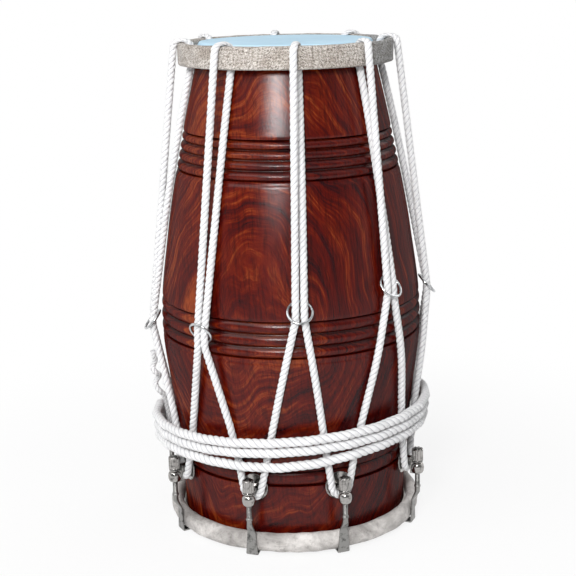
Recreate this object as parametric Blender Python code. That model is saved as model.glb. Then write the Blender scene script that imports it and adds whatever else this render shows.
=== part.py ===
"""Dholak: a two headed barrel drum with rope lacing, steel tuning rings and screw tensioners.

Metres, +Z up. The drum stands on its large (bass) head, which lies at z = 0, and its axis is Z.
An azimuth of 0 degrees faces -Y, and positive azimuths turn towards +X.
"""
import math

import bmesh
import bpy
from mathutils import Matrix, Vector

# Clearances
GAP = 0.0003
SURFACE_SLOPE = 1.025

# Facets round the drum, the same on the pieces that nest, and round the small pieces
SEGMENTS = 32
HOOP_SIDES = 8
ROUND_STEPS = 4
PASTE_SIDES = 24
NOTCH_SIDES = 10
PLATE_SIDES = 14
BOSS_SIDES = 8
EYE_SIDES = 10
RING_STEPS = 16
RING_WIRE_SIDES = 5

# Shell, outer profile from the bass mouth to the treble mouth as (height, radius)
BASS_SKIN_T = 0.0012
SHELL_BOTTOM = BASS_SKIN_T + GAP
SHELL_TOP = 0.4430
BASS_MOUTH_R = 0.1043
WAIST_Z = 0.0450
WAIST_R = 0.1067
LOWER_Z = 0.1100
LOWER_R = 0.1123
BELLY_Z = 0.1930
BELLY_R = 0.1206
UPPER_Z = 0.2750
UPPER_R = 0.1117
NECK_DROP = 0.0830
NECK_R = 0.0958
TREBLE_MOUTH_R = 0.0770
SHELL_WALL = 0.0100
MOUTH_CHAMFER = 0.0020
NECK_Z = SHELL_TOP - NECK_DROP

# Turned grooves between the beads, from the lowest up, the top ones by their distance below the treble mouth
LOW_GROOVES = (0.0616, 0.0758)
BELLY_GROOVES = (0.1790, 0.1929, 0.2040, 0.2153)
TOP_GROOVE_DROPS = (0.1120, 0.0960, 0.0850, 0.0755)
TOP_GROOVES = tuple(SHELL_TOP - drop for drop in TOP_GROOVE_DROPS)
GROOVE_DEPTH = 0.0010
GROOVE_WIDTH = 0.0030
OUTLINE_STEP = 0.0240

# Heads
TREBLE_SKIN_T = 0.0010
WEB_DROP = 0.0070
NOTCH_REACH = 0.0100
BASS_COLLAR_TOP = 0.0120
BASS_EDGE_GAP = 0.0001
PASTE_R = 0.0450
PASTE_TOP_R = 0.0360
PASTE_T = 0.0030

# Ropes
LACE_R = 0.0034
BELT_R = 0.0043
ROPE_SIDES_LEVEL = 1
STRAND_SAMPLES = 12
SADDLE_STEPS = 5
HOOP_PASS_STEPS = 6
BELT_MEETING = 0.7

# Treble hoop
TREBLE_HOOP_STAND = 0.0078
TREBLE_HOOP_W = 0.0070
TREBLE_HOOP_H = 0.0196
TREBLE_HOOP_RISE = 0.0014
WRAP_T = 0.0008

# Bass hoop, an oval ring
BASS_HOOP_HALF_W = 0.0060
BASS_HOOP_HALF_H = 0.0087
BASS_SEAM_ANGLE = 0.08
BLADE_T = 0.0017
FOOT_LIFT = 0.0004

# Saddle, hook and nut
SADDLE_Z = 0.0613
PLATE_R = 0.0127
PLATE_T = 0.0012
PLATE_TURN = math.radians(8.0)
BOSS_R = 0.0044
NECK_LAP = 0.0008
NECK_HALF_W = 0.0032
EYE_R = 0.0061
EYE_ROUND = 0.0018
EYE_BOTTOM = 0.0490
EYE_TOP = 0.0602
ROD_R = 0.0024
BORE_SIDES = 10
ROD_COLLAR_R = 0.0030
ROD_COLLAR_HALF = 0.0010
ROD_COLLAR_Z = 0.0365
ROD_PAST_NUT = 0.0006
WASHER_R = 0.0050
WASHER_T = 0.0008
NUT_R = 0.0052
NUT_H = 0.0118
NUT_EDGE = 0.0006
BLADE_TOP = 0.0290
BLADE_FLARE = 0.0080
BLADE_W = 0.0108
BLADE_NECK_W = 0.0078
BLADE_SOFT = 0.0004
FOOT_LENGTH = 0.0110
FOOT_END_W = 0.0098

# Tuning rings
RING_R = 0.0106
RING_WIRE_R = 0.0011
RING_TILT = math.radians(57.0)
REVERSED_TILT = math.radians(-48.0)
RING_TRAVEL = 0.0120
RING_STAND = 0.0014
RING_STRAIGHT = 0.0065
REVERSED_STRAIGHT = 0.0120

# Eight lacing units: each pair of strands, its ring and the hooks between the units
HOOK_AZIMUTHS = (-104.0, -62.4, -19.0, 20.8, 66.7, 112.0, 160.0, 208.0)
RING_AZIMUTHS = (-83.2, -36.6, 3.4, 44.0, 89.4, 136.0, 184.0, 232.0)
RING_HEIGHTS = (0.1930, 0.2040, 0.2260, 0.2380, 0.2185, 0.2100, 0.2250, 0.2000)
REVERSED_RING = 1
HOOP_LEAN = math.radians(2.0)
STRAND_SPREAD = math.radians(1.7)
UNITS = len(HOOK_AZIMUTHS)

# Belt rope
BELT_TOP_Z = 0.1110
BELT_TOP_TILT = 0.0078
BELT_TOP_LIFT = 0.0035
BELT_TURNS = 3
BELT_GAP = 0.0007
BELT_START = math.radians(-100.0)
BELT_STEP = math.radians(55.0)
BELT_SAG = 0.0050
BELT_SAG_AT = math.radians(-5.0)
BELT_SAG_WIDTH = math.radians(28.0)
BELT_POINTS = 24

# Tail of the rope: from under the belt it climbs one strand in two small loops, as (height, out, sideways)
TAIL_UNIT = 0
TAIL_R = 0.0027
TAIL_BELT_AZIMUTH = math.radians(-99.0)
TAIL_BELT_WIDTH = math.radians(34.0)
TAIL_BELT_ROOM = 1.08
TAIL_ROUTE = (
    (0.0790, 0.0000, 0.0000), (0.0920, 0.0000, 0.0000), (0.1050, 0.0000, 0.0000),
    (0.1125, 0.0006, 0.0012), (0.1170, 0.0032, 0.0030), (0.1215, 0.0058, 0.0018),
    (0.1255, 0.0058, -0.0014), (0.1290, 0.0030, -0.0030), (0.1320, 0.0004, -0.0014),
    (0.1350, 0.0006, 0.0018), (0.1380, 0.0032, 0.0028), (0.1412, 0.0048, 0.0004),
    (0.1445, 0.0032, -0.0018), (0.1480, 0.0006, -0.0010), (0.1530, 0.0000, 0.0000), (0.1590, 0.0000, 0.0000))

# Colours
SHEESHAM = (0.15, 0.025, 0.012, 1.0)
FILM_BLUE = (0.33, 0.62, 0.83, 1.0)
HIDE = (0.78, 0.76, 0.70, 1.0)
CANVAS = (0.66, 0.63, 0.58, 1.0)
HOOP_WOOD = (0.35, 0.24, 0.14, 1.0)
PASTE_DARK = (0.10, 0.07, 0.05, 1.0)
ROPE_WHITE = (0.86, 0.86, 0.85, 1.0)
STEEL = (0.62, 0.62, 0.60, 1.0)


def shell_radius(z):
    """Outer radius of the shell at a height, on a smooth curve through the driving points."""
    heights = (SHELL_BOTTOM, WAIST_Z, LOWER_Z, BELLY_Z, UPPER_Z, NECK_Z, SHELL_TOP)
    radii = (BASS_MOUTH_R, WAIST_R, LOWER_R, BELLY_R, UPPER_R, NECK_R, TREBLE_MOUTH_R)
    z = min(max(z, heights[0]), heights[-1])
    spans = [(radii[i + 1] - radii[i]) / (heights[i + 1] - heights[i]) for i in range(len(heights) - 1)]
    slopes = [spans[0]]
    for before, after in zip(spans, spans[1:]):
        slopes.append(0.0 if before * after <= 0.0 else 2.0 * before * after / (before + after))
    slopes.append(spans[-1])
    i = 0
    while z > heights[i + 1]:
        i += 1
    width = heights[i + 1] - heights[i]
    t = (z - heights[i]) / width
    start = (1.0 + 2.0 * t) * (1.0 - t) ** 2 * radii[i] + t * (1.0 - t) ** 2 * width * slopes[i]
    end = t * t * (3.0 - 2.0 * t) * radii[i + 1] + t * t * (t - 1.0) * width * slopes[i + 1]
    return start + end


def polar(azimuth, radius, z):
    """Point at an azimuth, a radius and a height."""
    return Vector((radius * math.sin(azimuth), -radius * math.cos(azimuth), z))


# Sizes that follow from the ones above
STRAND_OFF = (LACE_R + GAP) * SURFACE_SLOPE
BELT_OFF = (LACE_R + BELT_R + GAP) * SURFACE_SLOPE
STRAND_HALF = LACE_R + GAP
BASS_COLLAR_R = shell_radius(BASS_COLLAR_TOP) + GAP + BASS_SKIN_T
WEB_Z = SHELL_TOP - WEB_DROP
TREBLE_HOOP_TOP = SHELL_TOP + TREBLE_HOOP_RISE
TREBLE_HOOP_BOTTOM = TREBLE_HOOP_TOP - TREBLE_HOOP_H
TREBLE_HOOP_MID = shell_radius(TREBLE_HOOP_BOTTOM) + TREBLE_HOOP_STAND + TREBLE_HOOP_W / 2
TREBLE_HOOP_OUTER = TREBLE_HOOP_MID + TREBLE_HOOP_W / 2
TREBLE_ROUND_Z = TREBLE_HOOP_TOP - TREBLE_HOOP_W / 2
FACET_SAG = TREBLE_HOOP_OUTER * (1 - math.cos(math.pi / SEGMENTS))
OUTER_PASS_R = TREBLE_HOOP_OUTER + GAP + LACE_R
INNER_PASS_R = TREBLE_HOOP_MID - TREBLE_HOOP_W / 2 - GAP - FACET_SAG - LACE_R
PASS_MID = (OUTER_PASS_R + INNER_PASS_R) / 2
PASS_HALF = (OUTER_PASS_R - INNER_PASS_R) / 2
TAIL_OFF = (LACE_R + TAIL_R + GAP) * SURFACE_SLOPE
BELT_BULGE = (2 * TAIL_R + GAP) * TAIL_BELT_ROOM
BASS_HOOP_MID = BASS_COLLAR_R + GAP + BASS_HOOP_HALF_W
BASS_HOOP_Z = FOOT_LIFT + BLADE_T + GAP + BASS_HOOP_HALF_H
BLADE_MID = BASS_HOOP_MID + BASS_HOOP_HALF_W + GAP + BLADE_T / 2
PLATE_BACK = shell_radius(SADDLE_Z + PLATE_R) + GAP
PLATE_FRONT = PLATE_BACK + PLATE_T
BEND_PLANE = PLATE_FRONT + GAP + LACE_R
BEND_R = BOSS_R + GAP + LACE_R
NECK_BACK = BEND_PLANE + LACE_R + GAP
BOSS_FRONT = NECK_BACK + NECK_LAP
ROD_AXIS = BOSS_FRONT + GAP + max(NUT_R, WASHER_R)
BORE_R = (ROD_R + GAP) / math.cos(math.pi / BORE_SIDES)
WASHER_Z = EYE_TOP + GAP
NUT_Z = WASHER_Z + WASHER_T + GAP
ROD_TOP = NUT_Z + NUT_H + ROD_PAST_NUT
BELT_PITCH = 2 * BELT_R + BELT_GAP


def clear_scene():
    """Remove whatever the file holds."""
    for item in list(bpy.data.objects):
        bpy.data.objects.remove(item, do_unlink=True)


def material(name, color, roughness, metallic=0.0):
    """A plain Principled material."""
    found = bpy.data.materials.new(name)
    found.use_nodes = True
    shader = found.node_tree.nodes["Principled BSDF"]
    shader.inputs["Base Color"].default_value = color
    shader.inputs["Roughness"].default_value = roughness
    shader.inputs["Metallic"].default_value = metallic
    return found


def add_object(name, data, finish, smooth=True):
    """Link one named object for a mesh or a curve."""
    if isinstance(data, bpy.types.Mesh) and smooth:
        data.shade_smooth()
        data.set_sharp_from_angle(angle=math.radians(35.0))
    if finish is not None and not data.materials:
        data.materials.append(finish)
    item = bpy.data.objects.new(name, data)
    bpy.context.scene.collection.objects.link(item)
    return item


def finish_mesh(bm, name):
    """Weld, orient and store a bmesh."""
    bmesh.ops.remove_doubles(bm, verts=bm.verts, dist=1e-6)
    bmesh.ops.recalc_face_normals(bm, faces=bm.faces)
    mesh = bpy.data.meshes.new(name)
    bm.to_mesh(mesh)
    bm.free()
    return mesh


def turned(name, profile, segments):
    """Mesh turned about Z from (radius, height) points; a profile that misses the axis is closed."""
    bm = bmesh.new()
    verts = [bm.verts.new((radius, 0.0, z)) for radius, z in profile]
    edges = [bm.edges.new(pair) for pair in zip(verts, verts[1:])]
    if profile[0][0] > 0.0:
        edges.append(bm.edges.new((verts[-1], verts[0])))
    bmesh.ops.spin(
        bm, geom=verts + edges, cent=(0, 0, 0), axis=(0, 0, 1), angle=2 * math.pi, steps=segments,
        use_merge=True, use_duplicate=False)
    return finish_mesh(bm, name)


def lofted(name, sections):
    """Closed mesh through cross sections that all have the same number of points."""
    bm = bmesh.new()
    rings = [[bm.verts.new(point) for point in section] for section in sections]
    for low, high in zip(rings, rings[1:]):
        for i in range(len(low)):
            j = (i + 1) % len(low)
            bm.faces.new((low[i], low[j], high[j], high[i]))
    bm.faces.new(rings[0])
    bm.faces.new(rings[-1])
    return finish_mesh(bm, name)


def boolean(base, tool, operation):
    """Mesh of one mesh joined with or cut by another."""
    body = add_object("base_shape", base, None, smooth=False)
    other = add_object("tool_shape", tool, None, smooth=False)
    other.hide_render = True
    other.display_type = "WIRE"
    step = body.modifiers.new("shape", "BOOLEAN")
    step.operation = operation
    step.solver = "EXACT"
    step.object = other
    depsgraph = bpy.context.evaluated_depsgraph_get()
    evaluated = body.evaluated_get(depsgraph)
    bm = bmesh.new()
    bm.from_mesh(evaluated.to_mesh())
    evaluated.to_mesh_clear()
    bpy.data.objects.remove(body, do_unlink=True)
    bpy.data.objects.remove(other, do_unlink=True)
    return finish_mesh(bm, base.name)


def tube(name, points, radius, finish, closed=False):
    """Rope or wire of one radius along points."""
    curve = bpy.data.curves.new(name, "CURVE")
    curve.dimensions = "3D"
    curve.bevel_depth = radius
    curve.bevel_resolution = ROPE_SIDES_LEVEL
    curve.use_fill_caps = not closed
    spline = curve.splines.new("POLY")
    spline.points.add(len(points) - 1)
    for target, point in zip(spline.points, points):
        target.co = (*point, 1.0)
    spline.use_cyclic_u = closed
    return add_object(name, curve, finish)


def circle_profile(radius, half_w, half_h, z, count):
    """Points of an oval ring section for turning."""
    angles = [2 * math.pi * i / count for i in range(count)]
    return [(radius + half_w * math.cos(a), z + half_h * math.sin(a)) for a in angles]


def plain_heights():
    """Heights of the shell's outline in the plain stretches between its groups of grooves."""
    ends = (SHELL_BOTTOM, LOW_GROOVES[0], LOW_GROOVES[-1], BELLY_GROOVES[0],
            BELLY_GROOVES[-1], TOP_GROOVES[0], TOP_GROOVES[-1], SHELL_TOP)
    heights = []
    for low, high in zip(ends[::2], ends[1::2]):
        steps = math.ceil((high - low) / OUTLINE_STEP)
        heights += [low + (high - low) * i / steps for i in range(1, steps)]
    return heights


def shell_mesh():
    """Hollowed barrel with turned grooves between its beads."""
    outer = [(shell_radius(z), z) for z in plain_heights()]
    for z in LOW_GROOVES + BELLY_GROOVES + TOP_GROOVES:
        outer.append((shell_radius(z - GROOVE_WIDTH / 2), z - GROOVE_WIDTH / 2))
        outer.append((shell_radius(z) - GROOVE_DEPTH, z))
        outer.append((shell_radius(z + GROOVE_WIDTH / 2), z + GROOVE_WIDTH / 2))
    outer.sort(key=lambda point: point[1])
    edge_z = SHELL_BOTTOM + MOUTH_CHAMFER
    bass_edge = [(BASS_MOUTH_R - MOUTH_CHAMFER, SHELL_BOTTOM), (shell_radius(edge_z), edge_z)]
    treble_edge = [(TREBLE_MOUTH_R - MOUTH_CHAMFER / 2, SHELL_TOP)]
    heights = (SHELL_TOP, NECK_Z, UPPER_Z, BELLY_Z, LOWER_Z, WAIST_Z, SHELL_BOTTOM)
    inner = [(shell_radius(z) - SHELL_WALL, z) for z in heights]
    return turned("shell", bass_edge + outer + treble_edge + inner, SEGMENTS)


def treble_skin_mesh():
    """Film over the small mouth, turned down the shell and out to the hoop, notched for the rope."""
    top = SHELL_TOP + GAP + TREBLE_SKIN_T
    web_top = WEB_Z + TREBLE_SKIN_T
    reach = TREBLE_HOOP_MID - TREBLE_HOOP_W / 2 - GAP
    shell_side = shell_radius(WEB_Z) + GAP
    profile = [
        (0.0, top), (TREBLE_MOUTH_R - MOUTH_CHAMFER / 2, top),
        (TREBLE_MOUTH_R + GAP + TREBLE_SKIN_T, SHELL_TOP),
        (shell_side + TREBLE_SKIN_T, web_top), (reach, web_top), (reach, WEB_Z), (shell_side, WEB_Z),
        (TREBLE_MOUTH_R + GAP, SHELL_TOP - GAP), (TREBLE_MOUTH_R - MOUTH_CHAMFER / 2, SHELL_TOP + GAP),
        (0.0, SHELL_TOP + GAP)]
    mesh = turned("treble_skin", profile, SEGMENTS)
    for ring in RING_AZIMUTHS:
        low = WEB_Z - NOTCH_REACH
        high = WEB_Z + NOTCH_REACH
        notch = turned("notch", [(0.0, low), (LACE_R + GAP, low), (LACE_R + GAP, high), (0.0, high)],
                       NOTCH_SIDES)
        azimuth = math.radians(ring) + HOOP_LEAN + STRAND_SPREAD
        notch.transform(Matrix.Translation(polar(azimuth, INNER_PASS_R, 0.0)))
        mesh = boolean(mesh, notch, "DIFFERENCE")
    return mesh


def bass_skin_mesh():
    """Skin over the large mouth, drawn up outside the shell."""
    inner_top = shell_radius(BASS_COLLAR_TOP) + GAP
    edge_z = SHELL_BOTTOM + MOUTH_CHAMFER
    knee = shell_radius(edge_z) + GAP
    flat = BASS_MOUTH_R - MOUTH_CHAMFER
    profile = [
        (0.0, 0.0), (flat, 0.0), (knee + BASS_SKIN_T, edge_z - GAP),
        (inner_top + BASS_SKIN_T, BASS_COLLAR_TOP), (inner_top, BASS_COLLAR_TOP),
        (knee, edge_z - BASS_EDGE_GAP), (flat, BASS_SKIN_T), (0.0, BASS_SKIN_T)]
    return turned("bass_skin", profile, SEGMENTS)


def treble_hoop_section(inset):
    """Half of the hoop's outline, from the inner foot over the rounded top to the outer foot."""
    half = TREBLE_HOOP_W / 2 - inset
    arc = [math.pi * i / ROUND_STEPS for i in range(ROUND_STEPS + 1)]
    top = [(TREBLE_HOOP_MID - half * math.cos(a), TREBLE_ROUND_Z + half * math.sin(a)) for a in arc]
    low = TREBLE_HOOP_BOTTOM + inset
    return [(top[0][0], low)] + top + [(top[-1][0], low)]


def treble_hoop_meshes():
    """Core and the canvas wrapped over it, open along its lower edge."""
    core = turned("treble_hoop_core", treble_hoop_section(WRAP_T + GAP), SEGMENTS)
    outside = treble_hoop_section(0.0)
    inside = treble_hoop_section(WRAP_T)
    lip = TREBLE_HOOP_MID
    slit = GAP
    left = [(lip - slit, outside[0][1]), (lip - slit, inside[0][1])]
    right = [(lip + slit, inside[-1][1]), (lip + slit, outside[-1][1])]
    wrap = turned("treble_hoop_wrap", outside + [right[1], right[0]] + inside[::-1] + [left[1], left[0]],
                  SEGMENTS)
    return core, wrap


def bass_hoop_meshes():
    """Core and the hide wrapped over it, open along its inner side."""
    half_w = BASS_HOOP_HALF_W
    half_h = BASS_HOOP_HALF_H
    inset = WRAP_T + GAP
    core = turned("bass_hoop_core", circle_profile(
        BASS_HOOP_MID, half_w - inset, half_h - inset, BASS_HOOP_Z, HOOP_SIDES), SEGMENTS)
    open_turn = 2 * (math.pi - BASS_SEAM_ANGLE)
    angles = [BASS_SEAM_ANGLE - math.pi + open_turn * i / HOOP_SIDES for i in range(HOOP_SIDES + 1)]
    outside = [(BASS_HOOP_MID + half_w * math.cos(a), BASS_HOOP_Z + half_h * math.sin(a)) for a in angles]
    half_w -= WRAP_T
    half_h -= WRAP_T
    inside = [(BASS_HOOP_MID + half_w * math.cos(a), BASS_HOOP_Z + half_h * math.sin(a)) for a in angles]
    wrap = turned("bass_hoop_wrap", outside + inside[::-1], SEGMENTS)
    return core, wrap


def taut(start, end):
    """Taut line over the shell between two (height, radius) points, as few points as it needs."""
    points = [start]
    for i in range(1, STRAND_SAMPLES):
        z = start[0] + (end[0] - start[0]) * i / STRAND_SAMPLES
        points.append((z, shell_radius(z) + STRAND_OFF))
    points.append(end)
    kept = []
    for point in points:
        while len(kept) > 1:
            (z0, r0), (z1, r1) = kept[-2], kept[-1]
            line = r0 + (point[1] - r0) * (z1 - z0) / (point[0] - z0)
            if r1 > line:
                break
            kept.pop()
        kept.append(point)
    return kept


def strand(start, end, bottom=False):
    """Points of one strand on the shell between (azimuth, height, radius) ends."""
    ways = [(start[1], start[2])]
    if bottom:
        band = belt_band(start[0] + (end[0] - start[0]) * BELT_MEETING)
        ways += [(z, shell_radius(z) + STRAND_OFF) for z in band]
        ways.append((SADDLE_Z + PLATE_R, end[2]))
    ways.append((end[1], end[2]))
    line = []
    for a, b in zip(ways, ways[1:]):
        line += taut(a, b)[:-1]
    line.append(ways[-1])
    height = end[1] - start[1]
    return [polar(start[0] + (end[0] - start[0]) * (z - start[1]) / height, r, z) for z, r in line]


def ring_tilt(unit):
    """Tilt of a ring across its strands, positive with the outer side low."""
    return REVERSED_TILT if unit == REVERSED_RING else RING_TILT


def ring_place(unit):
    """Azimuth, height and radius at which a ring gathers its pair of strands."""
    z = RING_HEIGHTS[unit]
    tilt = ring_tilt(unit)
    back = shell_radius(z + RING_R * math.sin(tilt))
    reach = RING_R * math.cos(tilt) + RING_WIRE_R
    return math.radians(RING_AZIMUTHS[unit]), z, back + reach + GAP + RING_STAND


def bend_entry(ring, hook, side):
    """Angle round the saddle boss, from straight up, at which a strand meets the bend."""
    azimuth, z, radius = ring
    across = (azimuth - hook) * radius * side
    rise = z - SADDLE_Z
    return math.atan2(across, rise) + math.acos(BEND_R / math.hypot(across, rise))


def bend_point(hook, angle):
    """Point on the bend round a saddle boss, in the flat plane that its plate gives."""
    place = Vector((BEND_R * math.sin(angle), -BEND_PLANE, SADDLE_Z + BEND_R * math.cos(angle)))
    return Matrix.Rotation(hook, 3, "Z") @ place


def cylindrical(point):
    """Azimuth, height and radius of a point."""
    return math.atan2(point.x, -point.y), point.z, math.hypot(point.x, point.y)


def near(angle, target):
    """The same angle, in the turn that lies nearest to another."""
    return angle + 2 * math.pi * round((target - angle) / (2 * math.pi))


def lower_strand(ring, hook, side, angle, straight):
    """Strand from the bend at a hook up to a ring; side is 1 where the ring lies at greater azimuths."""
    start = cylindrical(bend_point(hook, angle * side))
    start = (near(start[0], ring[0]), start[1], start[2])
    end = (ring[0] - side * STRAND_HALF / ring[2], ring[1] - straight, ring[2])
    points = strand(end, start, bottom=True)
    return points[::-1]


def over_hoop(unit):
    """Rope over the top hoop, from the outer strand to the inner one."""
    middle = math.radians(RING_AZIMUTHS[unit]) + HOOP_LEAN
    points = []
    for i in range(HOOP_PASS_STEPS + 1):
        a = math.pi * i / HOOP_PASS_STEPS
        azimuth = middle + STRAND_SPREAD * (2 * i / HOOP_PASS_STEPS - 1)
        z = TREBLE_ROUND_Z + PASS_HALF * math.sin(a)
        points.append(polar(azimuth, PASS_MID + PASS_HALF * math.cos(a), z))
    return points


def lacing_points():
    """Route of the lacing, one closed rope: hook, ring, over the hoop, ring, next hook."""
    points = []
    for unit in range(UNITS):
        ring = ring_place(unit)
        hook = near(math.radians(HOOK_AZIMUTHS[unit]), ring[0])
        after = near(math.radians(HOOK_AZIMUTHS[(unit + 1) % UNITS]), ring[0])
        ring_before = ring_place(unit - 1)
        ring_before = (near(ring_before[0], hook), ring_before[1], ring_before[2])
        left = bend_entry(ring_before, hook, -1)
        right = bend_entry(ring, hook, 1)
        straight = REVERSED_STRAIGHT if unit == REVERSED_RING else RING_STRAIGHT
        for i in range(1, SADDLE_STEPS):
            points.append(bend_point(hook, -left - (2 * math.pi - left - right) * i / SADDLE_STEPS))
        points += lower_strand(ring, hook, 1, right, straight)
        hoop = over_hoop(unit)
        outer_azimuth = ring[0] - STRAND_HALF / ring[2]
        points.append(polar(outer_azimuth, ring[2], ring[1]))
        points += hoop
        inner_top = cylindrical(polar(ring[0] + HOOP_LEAN + STRAND_SPREAD, INNER_PASS_R, TREBLE_HOOP_BOTTOM))
        inner_top = (near(inner_top[0], ring[0]), inner_top[1], inner_top[2])
        points += strand((inner_top[0], inner_top[1], inner_top[2]),
                         (ring[0] + STRAND_HALF / ring[2], ring[1], ring[2]))
        next_entry = bend_entry(ring, after, -1)
        points += lower_strand(ring, after, -1, next_entry, straight)[::-1]
    return points


def belt_top(azimuth):
    """Height of the belt's upper edge, which runs a little higher on the right and at the front."""
    return BELT_TOP_Z + BELT_TOP_TILT * math.sin(azimuth) + BELT_TOP_LIFT * math.cos(azimuth)


def belt_sag(azimuth):
    """How far the third turn hangs below the second, most at the front."""
    away = (near(azimuth, BELT_SAG_AT) - BELT_SAG_AT) / BELT_SAG_WIDTH
    return BELT_SAG * math.exp(-away * away)


def belt_band(azimuth):
    """Heights between which the belt holds the strands against the shell."""
    high = belt_top(azimuth) + 2 * LACE_R
    low = belt_top(azimuth) - BELT_TURNS * BELT_PITCH - belt_sag(azimuth)
    return high, low


def belt_bulge(azimuth):
    """How far the belt stands out where it passes over the rope's tail."""
    away = (near(azimuth, TAIL_BELT_AZIMUTH) - TAIL_BELT_AZIMUTH) / TAIL_BELT_WIDTH
    return BELT_BULGE * math.exp(-away * away)


def strand_under_belt(azimuth, z):
    """Radius at which a strand lies under the belt."""
    high, low = belt_band(azimuth)
    share = (z - low) / (high - low)
    chord = shell_radius(low) + (shell_radius(high) - shell_radius(low)) * share
    return max(chord, shell_radius(z)) + STRAND_OFF


def belt_points():
    """Three turns in one rope, which steps down at the left and ends before a last step."""
    points = []
    whole = BELT_TURNS - BELT_STEP / (2 * math.pi)
    total = round(whole * BELT_POINTS)
    for i in range(total + 1):
        turned_by = whole * i / total
        turn = int(turned_by)
        azimuth = BELT_START + 2 * math.pi * turned_by
        within = (turned_by - turn) * 2 * math.pi
        step = min(max((within - 2 * math.pi + BELT_STEP) / BELT_STEP, 0.0), 1.0)
        step = step * step * (3 - 2 * step)
        z = belt_top(azimuth) - BELT_R - BELT_PITCH * (turn + step)
        if turn == BELT_TURNS - 1:
            z -= belt_sag(azimuth)
        lift = BELT_OFF + belt_bulge(azimuth)
        radius = (strand_under_belt(azimuth, z) + lift) / math.cos(math.pi / BELT_POINTS)
        points.append(polar(azimuth, radius, z))
    return points


def least_gap(points, radius, skip):
    """Least gap between far stretches of one rope, measured on points along it."""
    dense = []
    for a, b in zip(points, points[1:]):
        dense += [a.lerp(b, i / 6) for i in range(6)]
    dense.append(points[-1])
    best = 1.0
    for i, p in enumerate(dense):
        for q in dense[i + skip:]:
            best = min(best, (p - q).length)
    return best - 2 * radius


def strand_below_ring(unit, z):
    """Azimuth and radius at a height of a unit's strand to its lesser hook."""
    ring = ring_place(unit)
    hook = near(math.radians(HOOK_AZIMUTHS[unit]), ring[0])
    points = lower_strand(ring, hook, 1, bend_entry(ring, hook, 1), RING_STRAIGHT)
    for low, high in zip(points, points[1:]):
        if low.z <= z <= high.z:
            azimuth, _, radius = cylindrical(low.lerp(high, (z - low.z) / (high.z - low.z)))
            return azimuth, radius
    return ring[0], ring[2]


def tail_points():
    """The rope's end, which comes from under the belt and climbs a strand in two small loops."""
    points = []
    for z, out, side in TAIL_ROUTE:
        azimuth, radius = strand_below_ring(TAIL_UNIT, z)
        radius += TAIL_OFF + out
        points.append(polar(azimuth + side / radius, radius, z))
    return points


def rod_section(radius, z, direction, half_w, half_t, corner):
    """Eight points of a bolt's section, square to its path at azimuth 0."""
    outward = Vector((0.0, -math.cos(direction), -math.sin(direction)))
    center = Vector((0.0, -radius, z))
    flat = [(half_w, half_t - corner), (half_w - corner, half_t), (corner - half_w, half_t),
            (-half_w, half_t - corner), (-half_w, corner - half_t), (corner - half_w, -half_t),
            (half_w - corner, -half_t), (half_w, corner - half_t)]
    return [center + Vector((x, 0.0, 0.0)) + outward * t for x, t in flat]


def hook_mesh():
    """Threaded rod with a collar, flattened into a blade that turns in under the bottom hoop."""
    octagon = 2 - math.sqrt(2)
    flat = math.cos(math.pi / 8)
    soft = BLADE_SOFT
    sections = []
    collar_top = ROD_COLLAR_Z + ROD_COLLAR_HALF
    collar_low = ROD_COLLAR_Z - ROD_COLLAR_HALF
    for z, half in ((ROD_TOP, ROD_R - soft), (ROD_TOP - soft, ROD_R),
                    (collar_top + soft, ROD_R), (collar_top, ROD_COLLAR_R),
                    (collar_low, ROD_COLLAR_R), (collar_low - soft, ROD_R), (BLADE_TOP, ROD_R)):
        sections.append(rod_section(ROD_AXIS, z, 0.0, half * flat, half * flat, half * flat * octagon))
    half_t = BLADE_T / 2
    sections.append(rod_section(BLADE_MID, BLADE_TOP - BLADE_FLARE, 0.0, BLADE_NECK_W / 2, half_t, soft))
    turn_r = half_t + soft
    turn_z = FOOT_LIFT + half_t + turn_r
    sections.append(rod_section(BLADE_MID, turn_z, 0.0, BLADE_W / 2, half_t, soft))
    for i in (1, 2):
        a = math.pi / 2 * i / 2
        sections.append(rod_section(
            BLADE_MID - turn_r + turn_r * math.cos(a), turn_z - turn_r * math.sin(a), a,
            BLADE_W / 2, half_t, soft))
    sections.append(rod_section(
        BLADE_MID - FOOT_LENGTH, FOOT_LIFT + half_t, math.pi / 2, FOOT_END_W / 2, half_t, soft))
    return lofted("hook_bolt", sections)


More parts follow.
